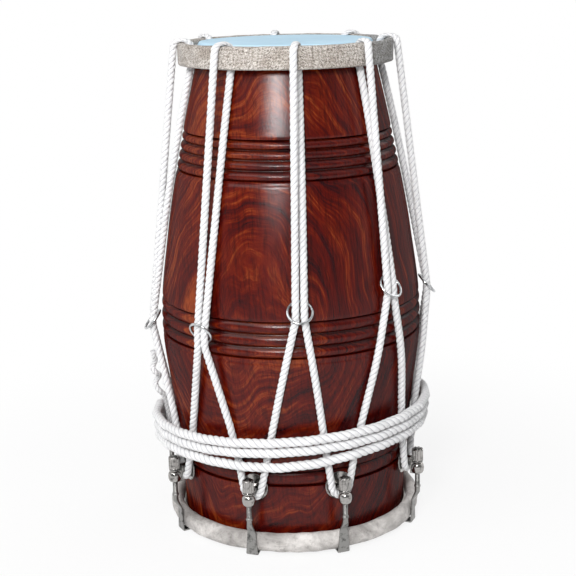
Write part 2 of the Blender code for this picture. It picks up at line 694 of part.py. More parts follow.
def saddle_mesh():
    """Plate against the shell, boss that the rope bends round, and an eye for the bolt."""
    def along_radius(mesh, radius):
        mesh.transform(Matrix.Translation((0.0, -radius, SADDLE_Z)) @ Matrix.Rotation(math.pi / 2, 4, "X")
                       @ Matrix.Rotation(PLATE_TURN, 4, "Z"))
        return mesh

    plate = along_radius(turned("plate", [
        (0.0, 0.0), (PLATE_R, 0.0), (PLATE_R, PLATE_T), (0.0, PLATE_T)], PLATE_SIDES), PLATE_BACK)
    sink = PLATE_T / 2
    boss_length = BOSS_FRONT - PLATE_FRONT + sink
    boss = turned("boss", [(0.0, 0.0), (BOSS_R, 0.0), (BOSS_R, boss_length), (0.0, boss_length)], BOSS_SIDES)
    boss = along_radius(boss, PLATE_FRONT - sink)
    eye_flat = EYE_R - EYE_ROUND
    eye = turned("eye", [
        (0.0, EYE_BOTTOM), (eye_flat, EYE_BOTTOM), (EYE_R, EYE_BOTTOM + EYE_ROUND),
        (EYE_R, EYE_TOP - EYE_ROUND), (eye_flat, EYE_TOP), (0.0, EYE_TOP)], EYE_SIDES)
    eye.transform(Matrix.Translation((0.0, -ROD_AXIS, 0.0)))
    low = EYE_BOTTOM + GAP
    high = EYE_TOP - GAP
    half = NECK_HALF_W
    neck = lofted("neck", [
        [(-half, -r, low), (half, -r, low), (half, -r, high), (-half, -r, high)]
        for r in (NECK_BACK, ROD_AXIS - ROD_R)])
    bore = turned("bore", [
        (0.0, EYE_BOTTOM - EYE_R), (BORE_R, EYE_BOTTOM - EYE_R),
        (BORE_R, EYE_TOP + EYE_R), (0.0, EYE_TOP + EYE_R)], BORE_SIDES)
    bore.transform(Matrix.Translation((0.0, -ROD_AXIS, 0.0)) @ Matrix.Rotation(math.pi / 12, 4, "Z"))
    mesh = boolean(plate, boss, "UNION")
    mesh = boolean(mesh, neck, "UNION")
    mesh = boolean(mesh, eye, "UNION")
    mesh = boolean(mesh, bore, "DIFFERENCE")
    mesh.name = "rope_saddle"
    return mesh


def nut_mesh():
    """Barrel nut, about its own axis and standing on z = 0."""
    return turned("tension_nut", [
        (NUT_R - NUT_EDGE, 0.0), (NUT_R, NUT_EDGE), (NUT_R, NUT_H - NUT_EDGE), (NUT_R - NUT_EDGE, NUT_H),
        (BORE_R, NUT_H), (BORE_R, 0.0)], BORE_SIDES)


def washer_mesh():
    """Plain washer, standing on z = 0."""
    return turned("nut_washer", [
        (WASHER_R, 0.0), (WASHER_R, WASHER_T), (BORE_R, WASHER_T), (BORE_R, 0.0)], BORE_SIDES)


def strand_middle(unit, z):
    """Point midway between a unit's two strands at a height above its ring."""
    ring = ring_place(unit)
    outer_top = (OUTER_PASS_R, TREBLE_ROUND_Z)
    share = (z - ring[1]) / (TREBLE_ROUND_Z - ring[1])
    outer = ring[2] + (outer_top[0] - ring[2]) * share
    line = taut((TREBLE_HOOP_BOTTOM, INNER_PASS_R), (ring[1], ring[2]))
    (z0, r0), (z1, r1) = line[-1], line[-2]
    inner = r0 + (r1 - r0) * (z - z0) / (z1 - z0)
    return polar(ring[0] + HOOP_LEAN * share, (outer + inner) / 2, z)


def ring_axis(unit):
    """Direction in which a ring slides up its strands."""
    z = RING_HEIGHTS[unit]
    return (strand_middle(unit, z + RING_TRAVEL) - strand_middle(unit, z)).normalized()


def place_ring(unit, mesh, finish):
    """One tuning ring, tilted across its strands with its outer side low."""
    azimuth, z, radius = ring_place(unit)
    axis = ring_axis(unit)
    across = Vector((math.cos(azimuth), math.sin(azimuth), 0.0))
    normal = Matrix.Rotation(ring_tilt(unit), 3, across) @ axis
    item = add_object("tuning_ring_%d" % (unit + 1), mesh, finish)
    item.rotation_euler = normal.to_track_quat("Z", "Y").to_euler()
    item.location = polar(azimuth, radius, z)
    return item


def build():
    """Model every piece."""
    clear_scene()
    wood = material("sheesham", SHEESHAM, 0.25)
    film = material("blue_film", FILM_BLUE, 0.35)
    hide = material("bass_hide", HIDE, 0.6)
    canvas = material("hoop_canvas", CANVAS, 0.85)
    hoop_wood = material("hoop_core", HOOP_WOOD, 0.7)
    paste = material("paste", PASTE_DARK, 0.8)
    rope = material("cotton_rope", ROPE_WHITE, 0.9)
    steel = material("plated_steel", STEEL, 0.3, 1.0)

    add_object("shell", shell_mesh(), wood)
    add_object("treble_skin", treble_skin_mesh(), film)
    add_object("bass_skin", bass_skin_mesh(), hide)
    paste_bottom = BASS_SKIN_T + GAP
    add_object("bass_paste", turned("bass_paste", [
        (0.0, paste_bottom), (PASTE_R, paste_bottom), (PASTE_TOP_R, paste_bottom + PASTE_T),
        (0.0, paste_bottom + PASTE_T)], PASTE_SIDES), paste)
    treble_core, treble_wrap = treble_hoop_meshes()
    add_object("treble_hoop_core", treble_core, hoop_wood)
    add_object("treble_hoop_wrap", treble_wrap, canvas)
    bass_core, bass_wrap = bass_hoop_meshes()
    add_object("bass_hoop_core", bass_core, hoop_wood)
    add_object("bass_hoop_wrap", bass_wrap, hide)

    tube("lacing_rope", lacing_points(), LACE_R, rope, closed=True)
    belt = belt_points()
    tube("belt_rope", belt, BELT_R, rope)
    print("belt rope, least gap to itself: %.2f mm" % (1000 * least_gap(belt, BELT_R, 6 * BELT_POINTS // 2)))
    tube("rope_tail_knot", tail_points(), TAIL_R, rope)

    ring_mesh = turned("tuning_ring", circle_profile(
        RING_R, RING_WIRE_R, RING_WIRE_R, 0.0, RING_WIRE_SIDES), RING_STEPS)
    saddle = saddle_mesh()
    hook = hook_mesh()
    nut = nut_mesh()
    washer = washer_mesh()
    for unit in range(UNITS):
        place_ring(unit, ring_mesh, steel)
        azimuth = math.radians(HOOK_AZIMUTHS[unit])
        number = unit + 1
        add_object("rope_saddle_%d" % number, saddle, steel).rotation_euler.z = azimuth
        add_object("hook_bolt_%d" % number, hook, steel).rotation_euler.z = azimuth
        plain = add_object("nut_washer_%d" % number, washer, steel)
        plain.location = polar(azimuth, ROD_AXIS, WASHER_Z)
        knob = add_object("tension_nut_%d" % number, nut, steel)
        knob.location = polar(azimuth, ROD_AXIS, NUT_Z)
        knob.rotation_euler.z = azimuth


build()
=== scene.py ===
"""Look of the dholak: turned and lacquered shell, wrapped hoops, twisted rope, plated tensioners.

Metres, in the frame of the solids. An azimuth of 0 degrees faces -Y, and positive ones turn towards +X.
"""
import math

import bmesh
import bpy
import numpy as np
from mathutils import Matrix, Vector


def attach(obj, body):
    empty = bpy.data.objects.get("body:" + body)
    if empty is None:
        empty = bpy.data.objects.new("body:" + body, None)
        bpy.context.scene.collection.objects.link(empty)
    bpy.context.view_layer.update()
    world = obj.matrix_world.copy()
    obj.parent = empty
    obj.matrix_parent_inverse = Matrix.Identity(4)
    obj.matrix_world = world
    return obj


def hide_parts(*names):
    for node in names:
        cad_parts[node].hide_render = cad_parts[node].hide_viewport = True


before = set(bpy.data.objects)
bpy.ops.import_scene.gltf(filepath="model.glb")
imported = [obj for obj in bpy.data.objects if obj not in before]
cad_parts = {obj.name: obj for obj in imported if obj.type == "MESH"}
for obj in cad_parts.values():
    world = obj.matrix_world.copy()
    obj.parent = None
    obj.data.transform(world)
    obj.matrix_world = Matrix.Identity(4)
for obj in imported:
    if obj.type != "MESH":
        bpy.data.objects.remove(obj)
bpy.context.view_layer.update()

# Sizes of the drum, the same as the solids have
GAP = 0.0003
SURFACE_SLOPE = 1.025
SEGMENTS = 32
BASS_SKIN_T = 0.0012
SHELL_BOTTOM = BASS_SKIN_T + GAP
SHELL_TOP = 0.4430
BASS_MOUTH_R = 0.1043
WAIST_Z = 0.0450
WAIST_R = 0.1067
LOWER_Z = 0.1100
LOWER_R = 0.1123
BELLY_Z = 0.1930
BELLY_R = 0.1206
UPPER_Z = 0.2750
UPPER_R = 0.1117
NECK_DROP = 0.0830
NECK_R = 0.0958
TREBLE_MOUTH_R = 0.0770
SHELL_WALL = 0.0100
MOUTH_CHAMFER = 0.0020
NECK_Z = SHELL_TOP - NECK_DROP
TREBLE_SKIN_T = 0.0010
WEB_DROP = 0.0070
BASS_COLLAR_TOP = 0.0120
LACE_R = 0.0034
BELT_R = 0.0043
STRAND_SAMPLES = 12
SADDLE_STEPS = 5
HOOP_PASS_STEPS = 6
BELT_MEETING = 0.7
TREBLE_HOOP_STAND = 0.0078
TREBLE_HOOP_W = 0.0070
TREBLE_HOOP_H = 0.0196
TREBLE_HOOP_RISE = 0.0014
BASS_HOOP_HALF_W = 0.0060
BASS_HOOP_HALF_H = 0.0087
BLADE_T = 0.0017
FOOT_LIFT = 0.0004
SADDLE_Z = 0.0613
PLATE_R = 0.0127
PLATE_T = 0.0012
BOSS_R = 0.0044
NECK_LAP = 0.0008
NECK_HALF_W = 0.0032
EYE_R = 0.0061
EYE_BOTTOM = 0.0490
EYE_TOP = 0.0602
ROD_R = 0.0024
BORE_SIDES = 10
ROD_COLLAR_R = 0.0030
ROD_COLLAR_HALF = 0.0010
ROD_COLLAR_Z = 0.0365
ROD_PAST_NUT = 0.0006
WASHER_R = 0.0050
WASHER_T = 0.0008
NUT_R = 0.0052
NUT_H = 0.0118
NUT_EDGE = 0.0006
BLADE_TOP = 0.0290
BLADE_FLARE = 0.0080
BLADE_W = 0.0108
BLADE_NECK_W = 0.0078
FOOT_LENGTH = 0.0110
FOOT_END_W = 0.0098
RING_R = 0.0106
RING_WIRE_R = 0.0011
RING_TILT = math.radians(57.0)
REVERSED_TILT = math.radians(-48.0)
RING_STAND = 0.0014
RING_STRAIGHT = 0.0065
REVERSED_STRAIGHT = 0.0120
HOOK_AZIMUTHS = (-104.0, -62.4, -19.0, 20.8, 66.7, 112.0, 160.0, 208.0)
RING_AZIMUTHS = (-83.2, -36.6, 3.4, 44.0, 89.4, 136.0, 184.0, 232.0)
RING_HEIGHTS = (0.1930, 0.2040, 0.2260, 0.2380, 0.2185, 0.2100, 0.2250, 0.2000)
REVERSED_RING = 1
HOOP_LEAN = math.radians(2.0)
STRAND_SPREAD = math.radians(1.7)
UNITS = len(HOOK_AZIMUTHS)
BELT_TOP_Z = 0.1110
BELT_TOP_TILT = 0.0078
BELT_TOP_LIFT = 0.0035
BELT_TURNS = 3
BELT_GAP = 0.0007
BELT_START = math.radians(-100.0)
BELT_STEP = math.radians(55.0)
BELT_SAG = 0.0050
BELT_SAG_AT = math.radians(-5.0)
BELT_SAG_WIDTH = math.radians(28.0)
BELT_POINTS = 24
TAIL_UNIT = 0
TAIL_R = 0.0027
TAIL_BELT_AZIMUTH = math.radians(-99.0)
TAIL_BELT_WIDTH = math.radians(34.0)
TAIL_BELT_ROOM = 1.08
TAIL_ROUTE = (
    (0.0790, 0.0000, 0.0000), (0.0920, 0.0000, 0.0000), (0.1050, 0.0000, 0.0000),
    (0.1125, 0.0006, 0.0012), (0.1170, 0.0032, 0.0030), (0.1215, 0.0058, 0.0018),
    (0.1255, 0.0058, -0.0014), (0.1290, 0.0030, -0.0030), (0.1320, 0.0004, -0.0014),
    (0.1350, 0.0006, 0.0018), (0.1380, 0.0032, 0.0028), (0.1412, 0.0048, 0.0004),
    (0.1445, 0.0032, -0.0018), (0.1480, 0.0006, -0.0010), (0.1530, 0.0000, 0.0000), (0.1590, 0.0000, 0.0000))

# Turned beads on the shell as (low, high), and turned lines at their edges and under two groups
BEADS = ((0.3320, 0.3410), (0.3410, 0.3497), (0.3497, 0.3580), (0.3580, 0.3665),
         (0.1825, 0.1929), (0.1929, 0.2040), (0.2040, 0.2153), (0.0616, 0.0758))
LINE_GROOVES = sorted({edge for bead in BEADS for edge in bead} | {0.3300, 0.1790}, reverse=True)
BEAD_DEPTH = 0.0024
BEAD_FULL = 0.0085
BEAD_ROUND = 1.9
LINE_DEPTH = 0.0005
LINE_WIDTH = 0.0016


def shell_radius(z):
    """Outer radius of the shell at a height, on a smooth curve through the driving points."""
    heights = (SHELL_BOTTOM, WAIST_Z, LOWER_Z, BELLY_Z, UPPER_Z, NECK_Z, SHELL_TOP)
    radii = (BASS_MOUTH_R, WAIST_R, LOWER_R, BELLY_R, UPPER_R, NECK_R, TREBLE_MOUTH_R)
    z = min(max(z, heights[0]), heights[-1])
    spans = [(radii[i + 1] - radii[i]) / (heights[i + 1] - heights[i]) for i in range(len(heights) - 1)]
    slopes = [spans[0]]
    for before, after in zip(spans, spans[1:]):
        slopes.append(0.0 if before * after <= 0.0 else 2.0 * before * after / (before + after))
    slopes.append(spans[-1])
    i = 0
    while z > heights[i + 1]:
        i += 1
    width = heights[i + 1] - heights[i]
    t = (z - heights[i]) / width
    start = (1.0 + 2.0 * t) * (1.0 - t) ** 2 * radii[i] + t * (1.0 - t) ** 2 * width * slopes[i]
    end = t * t * (3.0 - 2.0 * t) * radii[i + 1] + t * t * (t - 1.0) * width * slopes[i + 1]
    return start + end


def polar(azimuth, radius, z):
    """Point at an azimuth, a radius and a height."""
    return Vector((radius * math.sin(azimuth), -radius * math.cos(azimuth), z))


# Sizes that follow from the ones above
STRAND_OFF = (LACE_R + GAP) * SURFACE_SLOPE
BELT_OFF = (LACE_R + BELT_R + GAP) * SURFACE_SLOPE
STRAND_HALF = LACE_R + GAP
BASS_COLLAR_R = shell_radius(BASS_COLLAR_TOP) + GAP + BASS_SKIN_T
WEB_Z = SHELL_TOP - WEB_DROP
TREBLE_HOOP_TOP = SHELL_TOP + TREBLE_HOOP_RISE
TREBLE_HOOP_BOTTOM = TREBLE_HOOP_TOP - TREBLE_HOOP_H
TREBLE_HOOP_MID = shell_radius(TREBLE_HOOP_BOTTOM) + TREBLE_HOOP_STAND + TREBLE_HOOP_W / 2
TREBLE_HOOP_OUTER = TREBLE_HOOP_MID + TREBLE_HOOP_W / 2
TREBLE_ROUND_Z = TREBLE_HOOP_TOP - TREBLE_HOOP_W / 2
FACET_SAG = TREBLE_HOOP_OUTER * (1 - math.cos(math.pi / SEGMENTS))
OUTER_PASS_R = TREBLE_HOOP_OUTER + GAP + LACE_R
INNER_PASS_R = TREBLE_HOOP_MID - TREBLE_HOOP_W / 2 - GAP - FACET_SAG - LACE_R
PASS_MID = (OUTER_PASS_R + INNER_PASS_R) / 2
PASS_HALF = (OUTER_PASS_R - INNER_PASS_R) / 2
TAIL_OFF = (LACE_R + TAIL_R + GAP) * SURFACE_SLOPE
BELT_BULGE = (2 * TAIL_R + GAP) * TAIL_BELT_ROOM
BASS_HOOP_MID = BASS_COLLAR_R + GAP + BASS_HOOP_HALF_W
BASS_HOOP_Z = FOOT_LIFT + BLADE_T + GAP + BASS_HOOP_HALF_H
BLADE_MID = BASS_HOOP_MID + BASS_HOOP_HALF_W + GAP + BLADE_T / 2
PLATE_BACK = shell_radius(SADDLE_Z + PLATE_R) + GAP
PLATE_FRONT = PLATE_BACK + PLATE_T
BEND_PLANE = PLATE_FRONT + GAP + LACE_R
BEND_R = BOSS_R + GAP + LACE_R
NECK_BACK = BEND_PLANE + LACE_R + GAP
BOSS_FRONT = NECK_BACK + NECK_LAP
ROD_AXIS = BOSS_FRONT + GAP + max(NUT_R, WASHER_R)
BORE_R = (ROD_R + GAP) / math.cos(math.pi / BORE_SIDES)
WASHER_Z = EYE_TOP + GAP
NUT_Z = WASHER_Z + WASHER_T + GAP
ROD_TOP = NUT_Z + NUT_H + ROD_PAST_NUT
BELT_PITCH = 2 * BELT_R + BELT_GAP


def taut(start, end):
    """Taut line over the shell between two (height, radius) points, as few points as it needs."""
    points = [start]
    for i in range(1, STRAND_SAMPLES):
        z = start[0] + (end[0] - start[0]) * i / STRAND_SAMPLES
        points.append((z, shell_radius(z) + STRAND_OFF))
    points.append(end)
    kept = []
    for point in points:
        while len(kept) > 1:
            (z0, r0), (z1, r1) = kept[-2], kept[-1]
            line = r0 + (point[1] - r0) * (z1 - z0) / (point[0] - z0)
            if r1 > line:
                break
            kept.pop()
        kept.append(point)
    return kept


def strand(start, end, bottom=False):
    """Points of one strand on the shell between (azimuth, height, radius) ends."""
    ways = [(start[1], start[2])]
    if bottom:
        band = belt_band(start[0] + (end[0] - start[0]) * BELT_MEETING)
        ways += [(z, shell_radius(z) + STRAND_OFF) for z in band]
        ways.append((SADDLE_Z + PLATE_R, end[2]))
    ways.append((end[1], end[2]))
    line = []
    for a, b in zip(ways, ways[1:]):
        line += taut(a, b)[:-1]
    line.append(ways[-1])
    height = end[1] - start[1]
    return [polar(start[0] + (end[0] - start[0]) * (z - start[1]) / height, r, z) for z, r in line]


def ring_tilt(unit):
    """Tilt of a ring across its strands, positive with the outer side low."""
    return REVERSED_TILT if unit == REVERSED_RING else RING_TILT


def ring_place(unit):
    """Azimuth, height and radius at which a ring gathers its pair of strands."""
    z = RING_HEIGHTS[unit]
    tilt = ring_tilt(unit)
    back = shell_radius(z + RING_R * math.sin(tilt))
    reach = RING_R * math.cos(tilt) + RING_WIRE_R
    return math.radians(RING_AZIMUTHS[unit]), z, back + reach + GAP + RING_STAND


def bend_entry(ring, hook, side):
    """Angle round the saddle boss, from straight up, at which a strand meets the bend."""
    azimuth, z, radius = ring
    across = (azimuth - hook) * radius * side
    rise = z - SADDLE_Z
    return math.atan2(across, rise) + math.acos(BEND_R / math.hypot(across, rise))


def bend_point(hook, angle):
    """Point on the bend round a saddle boss, in the flat plane that its plate gives."""
    place = Vector((BEND_R * math.sin(angle), -BEND_PLANE, SADDLE_Z + BEND_R * math.cos(angle)))
    return Matrix.Rotation(hook, 3, "Z") @ place


def cylindrical(point):
    """Azimuth, height and radius of a point."""
    return math.atan2(point.x, -point.y), point.z, math.hypot(point.x, point.y)


def near(angle, target):
    """The same angle, in the turn that lies nearest to another."""
    return angle + 2 * math.pi * round((target - angle) / (2 * math.pi))


def near_place(place, target):
    """The same (azimuth, height, radius), in the turn that lies nearest to an azimuth."""
    return near(place[0], target), place[1], place[2]


def hook_near(unit, ring):
    """Azimuth of a unit's hook, in the turn that lies nearest to a ring."""
    return near(math.radians(HOOK_AZIMUTHS[unit % UNITS]), ring[0])


def lower_strand(ring, hook, side, angle, straight):
    """Strand from the bend at a hook up to a ring; side is 1 where the ring lies at greater azimuths."""
    start = near_place(cylindrical(bend_point(hook, angle * side)), ring[0])
    end = (ring[0] - side * STRAND_HALF / ring[2], ring[1] - straight, ring[2])
    points = strand(end, start, bottom=True)
    return points[::-1]


def over_hoop(unit):
    """Rope over the top hoop, from the outer strand to the inner one."""
    middle = math.radians(RING_AZIMUTHS[unit]) + HOOP_LEAN
    points = []
    for i in range(HOOP_PASS_STEPS + 1):
        a = math.pi * i / HOOP_PASS_STEPS
        azimuth = middle + STRAND_SPREAD * (2 * i / HOOP_PASS_STEPS - 1)
        z = TREBLE_ROUND_Z + PASS_HALF * math.sin(a)
        points.append(polar(azimuth, PASS_MID + PASS_HALF * math.cos(a), z))
    return points


def lacing_points():
    """Route of the lacing, one closed rope: hook, ring, over the hoop, ring, next hook."""
    points = []
    for unit in range(UNITS):
        ring = ring_place(unit)
        hook = hook_near(unit, ring)
        after = hook_near(unit + 1, ring)
        left = bend_entry(near_place(ring_place(unit - 1), hook), hook, -1)
        right = bend_entry(ring, hook, 1)
        straight = REVERSED_STRAIGHT if unit == REVERSED_RING else RING_STRAIGHT
        for i in range(1, SADDLE_STEPS):
            points.append(bend_point(hook, -left - (2 * math.pi - left - right) * i / SADDLE_STEPS))
        points += lower_strand(ring, hook, 1, right, straight)
        points.append(polar(ring[0] - STRAND_HALF / ring[2], ring[2], ring[1]))
        points += over_hoop(unit)
        inner_top = cylindrical(polar(ring[0] + HOOP_LEAN + STRAND_SPREAD, INNER_PASS_R, TREBLE_HOOP_BOTTOM))
        points += strand(near_place(inner_top, ring[0]), (ring[0] + STRAND_HALF / ring[2], ring[1], ring[2]))
        points += lower_strand(ring, after, -1, bend_entry(ring, after, -1), straight)[::-1]
    return points


def belt_top(azimuth):
    """Height of the belt's upper edge, which runs a little higher on the right and at the front."""
    return BELT_TOP_Z + BELT_TOP_TILT * math.sin(azimuth) + BELT_TOP_LIFT * math.cos(azimuth)


def belt_sag(azimuth):
    """How far the third turn hangs below the second, most at the front."""
    away = (near(azimuth, BELT_SAG_AT) - BELT_SAG_AT) / BELT_SAG_WIDTH
    return BELT_SAG * math.exp(-away * away)


def belt_band(azimuth):
    """Heights between which the belt holds the strands against the shell."""
    high = belt_top(azimuth) + 2 * LACE_R
    low = belt_top(azimuth) - BELT_TURNS * BELT_PITCH - belt_sag(azimuth)
    return high, low


def belt_bulge(azimuth):
    """How far the belt stands out where it passes over the rope's tail."""
    away = (near(azimuth, TAIL_BELT_AZIMUTH) - TAIL_BELT_AZIMUTH) / TAIL_BELT_WIDTH
    return BELT_BULGE * math.exp(-away * away)


def strand_under_belt(azimuth, z):
    """Radius at which a strand lies under the belt."""
    high, low = belt_band(azimuth)
    share = (z - low) / (high - low)
    chord = shell_radius(low) + (shell_radius(high) - shell_radius(low)) * share
    return max(chord, shell_radius(z)) + STRAND_OFF


def belt_points():
    """Three turns in one rope, which steps down at the left and ends before a last step."""
    points = []
    whole = BELT_TURNS - BELT_STEP / (2 * math.pi)
    total = round(whole * BELT_POINTS)
    for i in range(total + 1):
        turned_by = whole * i / total
        turn = int(turned_by)
        azimuth = BELT_START + 2 * math.pi * turned_by
        within = (turned_by - turn) * 2 * math.pi
        step = min(max((within - 2 * math.pi + BELT_STEP) / BELT_STEP, 0.0), 1.0)
        step = step * step * (3 - 2 * step)
        z = belt_top(azimuth) - BELT_R - BELT_PITCH * (turn + step)
        if turn == BELT_TURNS - 1:
            z -= belt_sag(azimuth)
        lift = BELT_OFF + belt_bulge(azimuth)
        radius = (strand_under_belt(azimuth, z) + lift) / math.cos(math.pi / BELT_POINTS)
        points.append(polar(azimuth, radius, z))
    return points


def strand_below_ring(unit, z):
    """Azimuth and radius at a height of a unit's strand to its lesser hook."""
    ring = ring_place(unit)
    hook = hook_near(unit, ring)
    points = lower_strand(ring, hook, 1, bend_entry(ring, hook, 1), RING_STRAIGHT)
    for low, high in zip(points, points[1:]):
        if low.z <= z <= high.z:
            azimuth, _, radius = cylindrical(low.lerp(high, (z - low.z) / (high.z - low.z)))
            return azimuth, radius
    return ring[0], ring[2]


def tail_points():
    """The rope's end, which comes from under the belt and climbs a strand in two small loops."""
    points = []
    for z, out, side in TAIL_ROUTE:
        azimuth, radius = strand_below_ring(TAIL_UNIT, z)
        radius += TAIL_OFF + out
        points.append(polar(azimuth + side / radius, radius, z))
    return points


# The photograph's viewpoint
CAMERA_PLACE = (0.0, -1.195, 0.514)
CAMERA_PITCH = math.radians(14.0)
CAMERA_YAW = math.radians(-0.11)
CAMERA_ROLL = math.radians(-1.25)
CAMERA_LENS = 82.5
CAMERA_REACH = 20.0
SENSOR = 36.0

# Soft lamps as (place, target, width, height, power)
LAMPS = {"key": ((-0.35, -1.70, 1.04), (0.0, 0.0, 0.36), 0.38, 0.32, 24.0),
         "bank": ((-0.66, -0.98, 1.38), (0.0, 0.0, 0.30), 2.00, 0.90, 13.0),
         "back": ((1.10, 1.10, 1.30), (0.0, 0.0, 0.20), 1.20, 0.90, 7.0)}

# Surroundings: their light on the drum, and for glossy rays a fall from white behind it to DARK_SIDE on
# the camera's side, between two values of a direction's Y
AMBIENT = 0.38
DARK_SIDE = 0.22
DARK_FROM = -0.75
DARK_TO = 0.10

# Floor: its share of plain white is FLOOR_NEAR out to one distance, and rises to 1 at the other
FLOOR_HALF = 6.0
FLOOR_DROP = 0.0002
FLOOR_GREY = 0.86
FLOOR_NEAR = 0.84
FLOOR_WHITE_FROM = 0.15
FLOOR_WHITE_TO = 0.60

# Growth rings of the wood, about a pith that leans across the drum
PITH_SIDE = 0.024
PITH_SIDE_LEAN = -0.030
PITH_START = 0.030
PITH_LEAN = 0.060
GROWTH_WANDER = 0.020
SWIRL_SCALE = 13.0
PORE_SCALE = 520.0
# Painted light: the wood is drawn paler towards the left and the top, where the lamps light it
PAINTED_LIGHT_TO_LEFT = -0.30
PAINTED_LIGHT_TO_TOP = 0.14
PAINTED_LIGHT_START = -0.026
# Layers of growth lines as (period, length, detail, roughness, share)
GROWTH_LAYERS = ((0.0010, 0.060, 5.0, 0.72, 0.52), (0.0040, 0.090, 2.0, 0.5, 0.38),
                 (0.0004, 0.030, 3.0, 0.65, 0.22))

# Lacquer
COAT_WEIGHT = 0.115
COAT_IOR = 2.6
COAT_ROUGH = 0.23

# Colour ramps as (place, linear colour)
WHITE = (1.0, 1.0, 1.0)
WOOD_TONES = ((0.44, (0.020, 0.0012, 0.0022)), (0.50, (0.043, 0.0013, 0.0009)),
              (0.56, (0.068, 0.0022, 0.0004)), (0.62, (0.104, 0.0072, 0.0009)),
              (0.70, (0.200, 0.0330, 0.0060)))
PORE_TONES = ((0.38, (0.42, 0.32, 0.36)), (0.50, WHITE), (0.64, (1.25, 1.35, 1.3)))
# Painted shade in the grooves between the beads, darker the deeper the wood is sunk there
BEAD_GROOVE_SHADE = ((0.20, WHITE), (0.90, (0.25, 0.22, 0.26)))
# Painted shade: the rope is greyer towards the grooves between its strands
ROPE_GROOVE_SHADE_TONES = ((0.0, (0.50, 0.50, 0.53)), (0.28, (0.80, 0.80, 0.81)), (0.60, (0.90, 0.90, 0.90)))
ROPE_SOIL = ((0.30, (0.86, 0.86, 0.86)), (0.60, WHITE))
ROPE_FLECKS = ((0.30, (0.86, 0.86, 0.88)), (0.60, WHITE))
FILM_TONES = ((0.30, (0.430, 0.625, 0.755)), (0.70, (0.515, 0.715, 0.850)))
CANVAS_TONES = ((0.44, (0.09, 0.075, 0.06)), (0.51, (0.40, 0.36, 0.325)), (0.59, (0.70, 0.66, 0.62)))
CANVAS_SOIL = ((0.38, (0.62, 0.58, 0.54)), (0.56, WHITE))
# Painted shade: the right end of the small hoop's canvas is darkened to bluish grey
CANVAS_RIGHT_SHADE = ((0.30, WHITE), (0.80, (0.50, 0.56, 0.62)))
CANVAS_SEAM = ((0.25, (0.55, 0.53, 0.50)), (0.70, WHITE))
HIDE_SPOTS = ((0.34, (0.55, 0.54, 0.53)), (0.46, WHITE))

# The round barrel is this much slimmer than the faceted one, so that raised rings clear it
SHELL_TRIM = 0.00045

# Film: its bend at the mouth, the spread of its web, and the small folds out from the mouth
FILM_BEND_R = 0.0013
WEB_RISE = 0.0015
WEB_SPREAD = 0.0008
FOLDS = 57.0
FOLD_HEIGHT = 0.00025
FOLD_REACH = 0.004

# Hide: its turn up from the floor
HIDE_TURN_W = 0.002
HIDE_TURN_H = 0.0004

# Hoop wraps: the canvas's seam, softened edge and waves, and the hide's folds and sag
CANVAS_SEAM_X = 0.0222
CANVAS_THREADS = 1700.0
CANVAS_SOFT = 0.0012
LONG_WAVE = 0.00028
SHORT_WAVE = 0.00022
WRAP_FOLD = 0.00022
WRAP_SAG = 0.00025

# Twisted rope: length of a twist, depth of the grooves, and how far it is pressed flat over the hoop
LACE_LAY = 0.0158
BELT_LAY = 0.0192
TAIL_LAY = 0.0120
ROPE_GROOVE = 0.20
ROPE_PRESS = 0.55
SMOOTHING = 0.0060

# Small steel parts
THREAD_PITCH = 0.0007
THREAD_DEPTH = 0.00025
THREAD_END = 0.0026
COLLAR_SOFT = 0.0003
NUT_RIBS = 16
NUT_RIB_DEPTH = 0.0005
NUT_NOTCH = 0.0010
PLATE_SOFT = 0.0004
BOSS_SOFT = 0.0003
DISC_HOLE = 0.0006
WASHER_SOFT = 0.0002

# Fineness of the visible meshes, and the angles from which an edge stays sharp
TURNS = 192
CANVAS_TURNS = 256
WRAP_TURNS = 288
WRAP_SIDES = 40
SHELL_ROWS = 700
SHEET_STEP = 0.006
WEB_STEP = 0.0012
CANVAS_STEP = 0.0011
ROPE_STEP = 0.0012
ROPE_SIDES = 24
WIRE_SIDES = 14
RING_TURNS = 72
HOOK_SIDES = 24
AXIS_NEAR = 0.00001
SHELL_SHARP = math.radians(60)
STEEL_SHARP = math.radians(38)


def camera():
    """Camera at the photograph's place and angle."""
    data = bpy.data.cameras.new("camera")
    data.lens = CAMERA_LENS
    data.sensor_width = SENSOR
    data.clip_end = CAMERA_REACH
    item = bpy.data.objects.new("camera", data)
    bpy.context.scene.collection.objects.link(item)
    forward = Vector((math.sin(CAMERA_YAW) * math.cos(CAMERA_PITCH),
                      math.cos(CAMERA_YAW) * math.cos(CAMERA_PITCH), -math.sin(CAMERA_PITCH)))
    level = Vector((math.cos(CAMERA_YAW), -math.sin(CAMERA_YAW), 0.0))
    rise = level.cross(forward)
    right = math.cos(CAMERA_ROLL) * level + math.sin(CAMERA_ROLL) * rise
    up = math.cos(CAMERA_ROLL) * rise - math.sin(CAMERA_ROLL) * level
    turn = Matrix((right, up, -forward)).transposed()
    item.matrix_world = Matrix.Translation(CAMERA_PLACE) @ turn.to_4x4()
    bpy.context.scene.camera = item


def lamp(name, place, target, size, size_y, power):
    """Soft rectangular lamp aimed at a point."""
    data = bpy.data.lights.new(name, "AREA")
    data.shape = "RECTANGLE"
    data.size = size
    data.size_y = size_y
    data.energy = power
    item = bpy.data.objects.new(name, data)
    bpy.context.scene.collection.objects.link(item)
    item.location = place
    item.rotation_euler = (Vector(target) - Vector(place)).to_track_quat("-Z", "Y").to_euler()


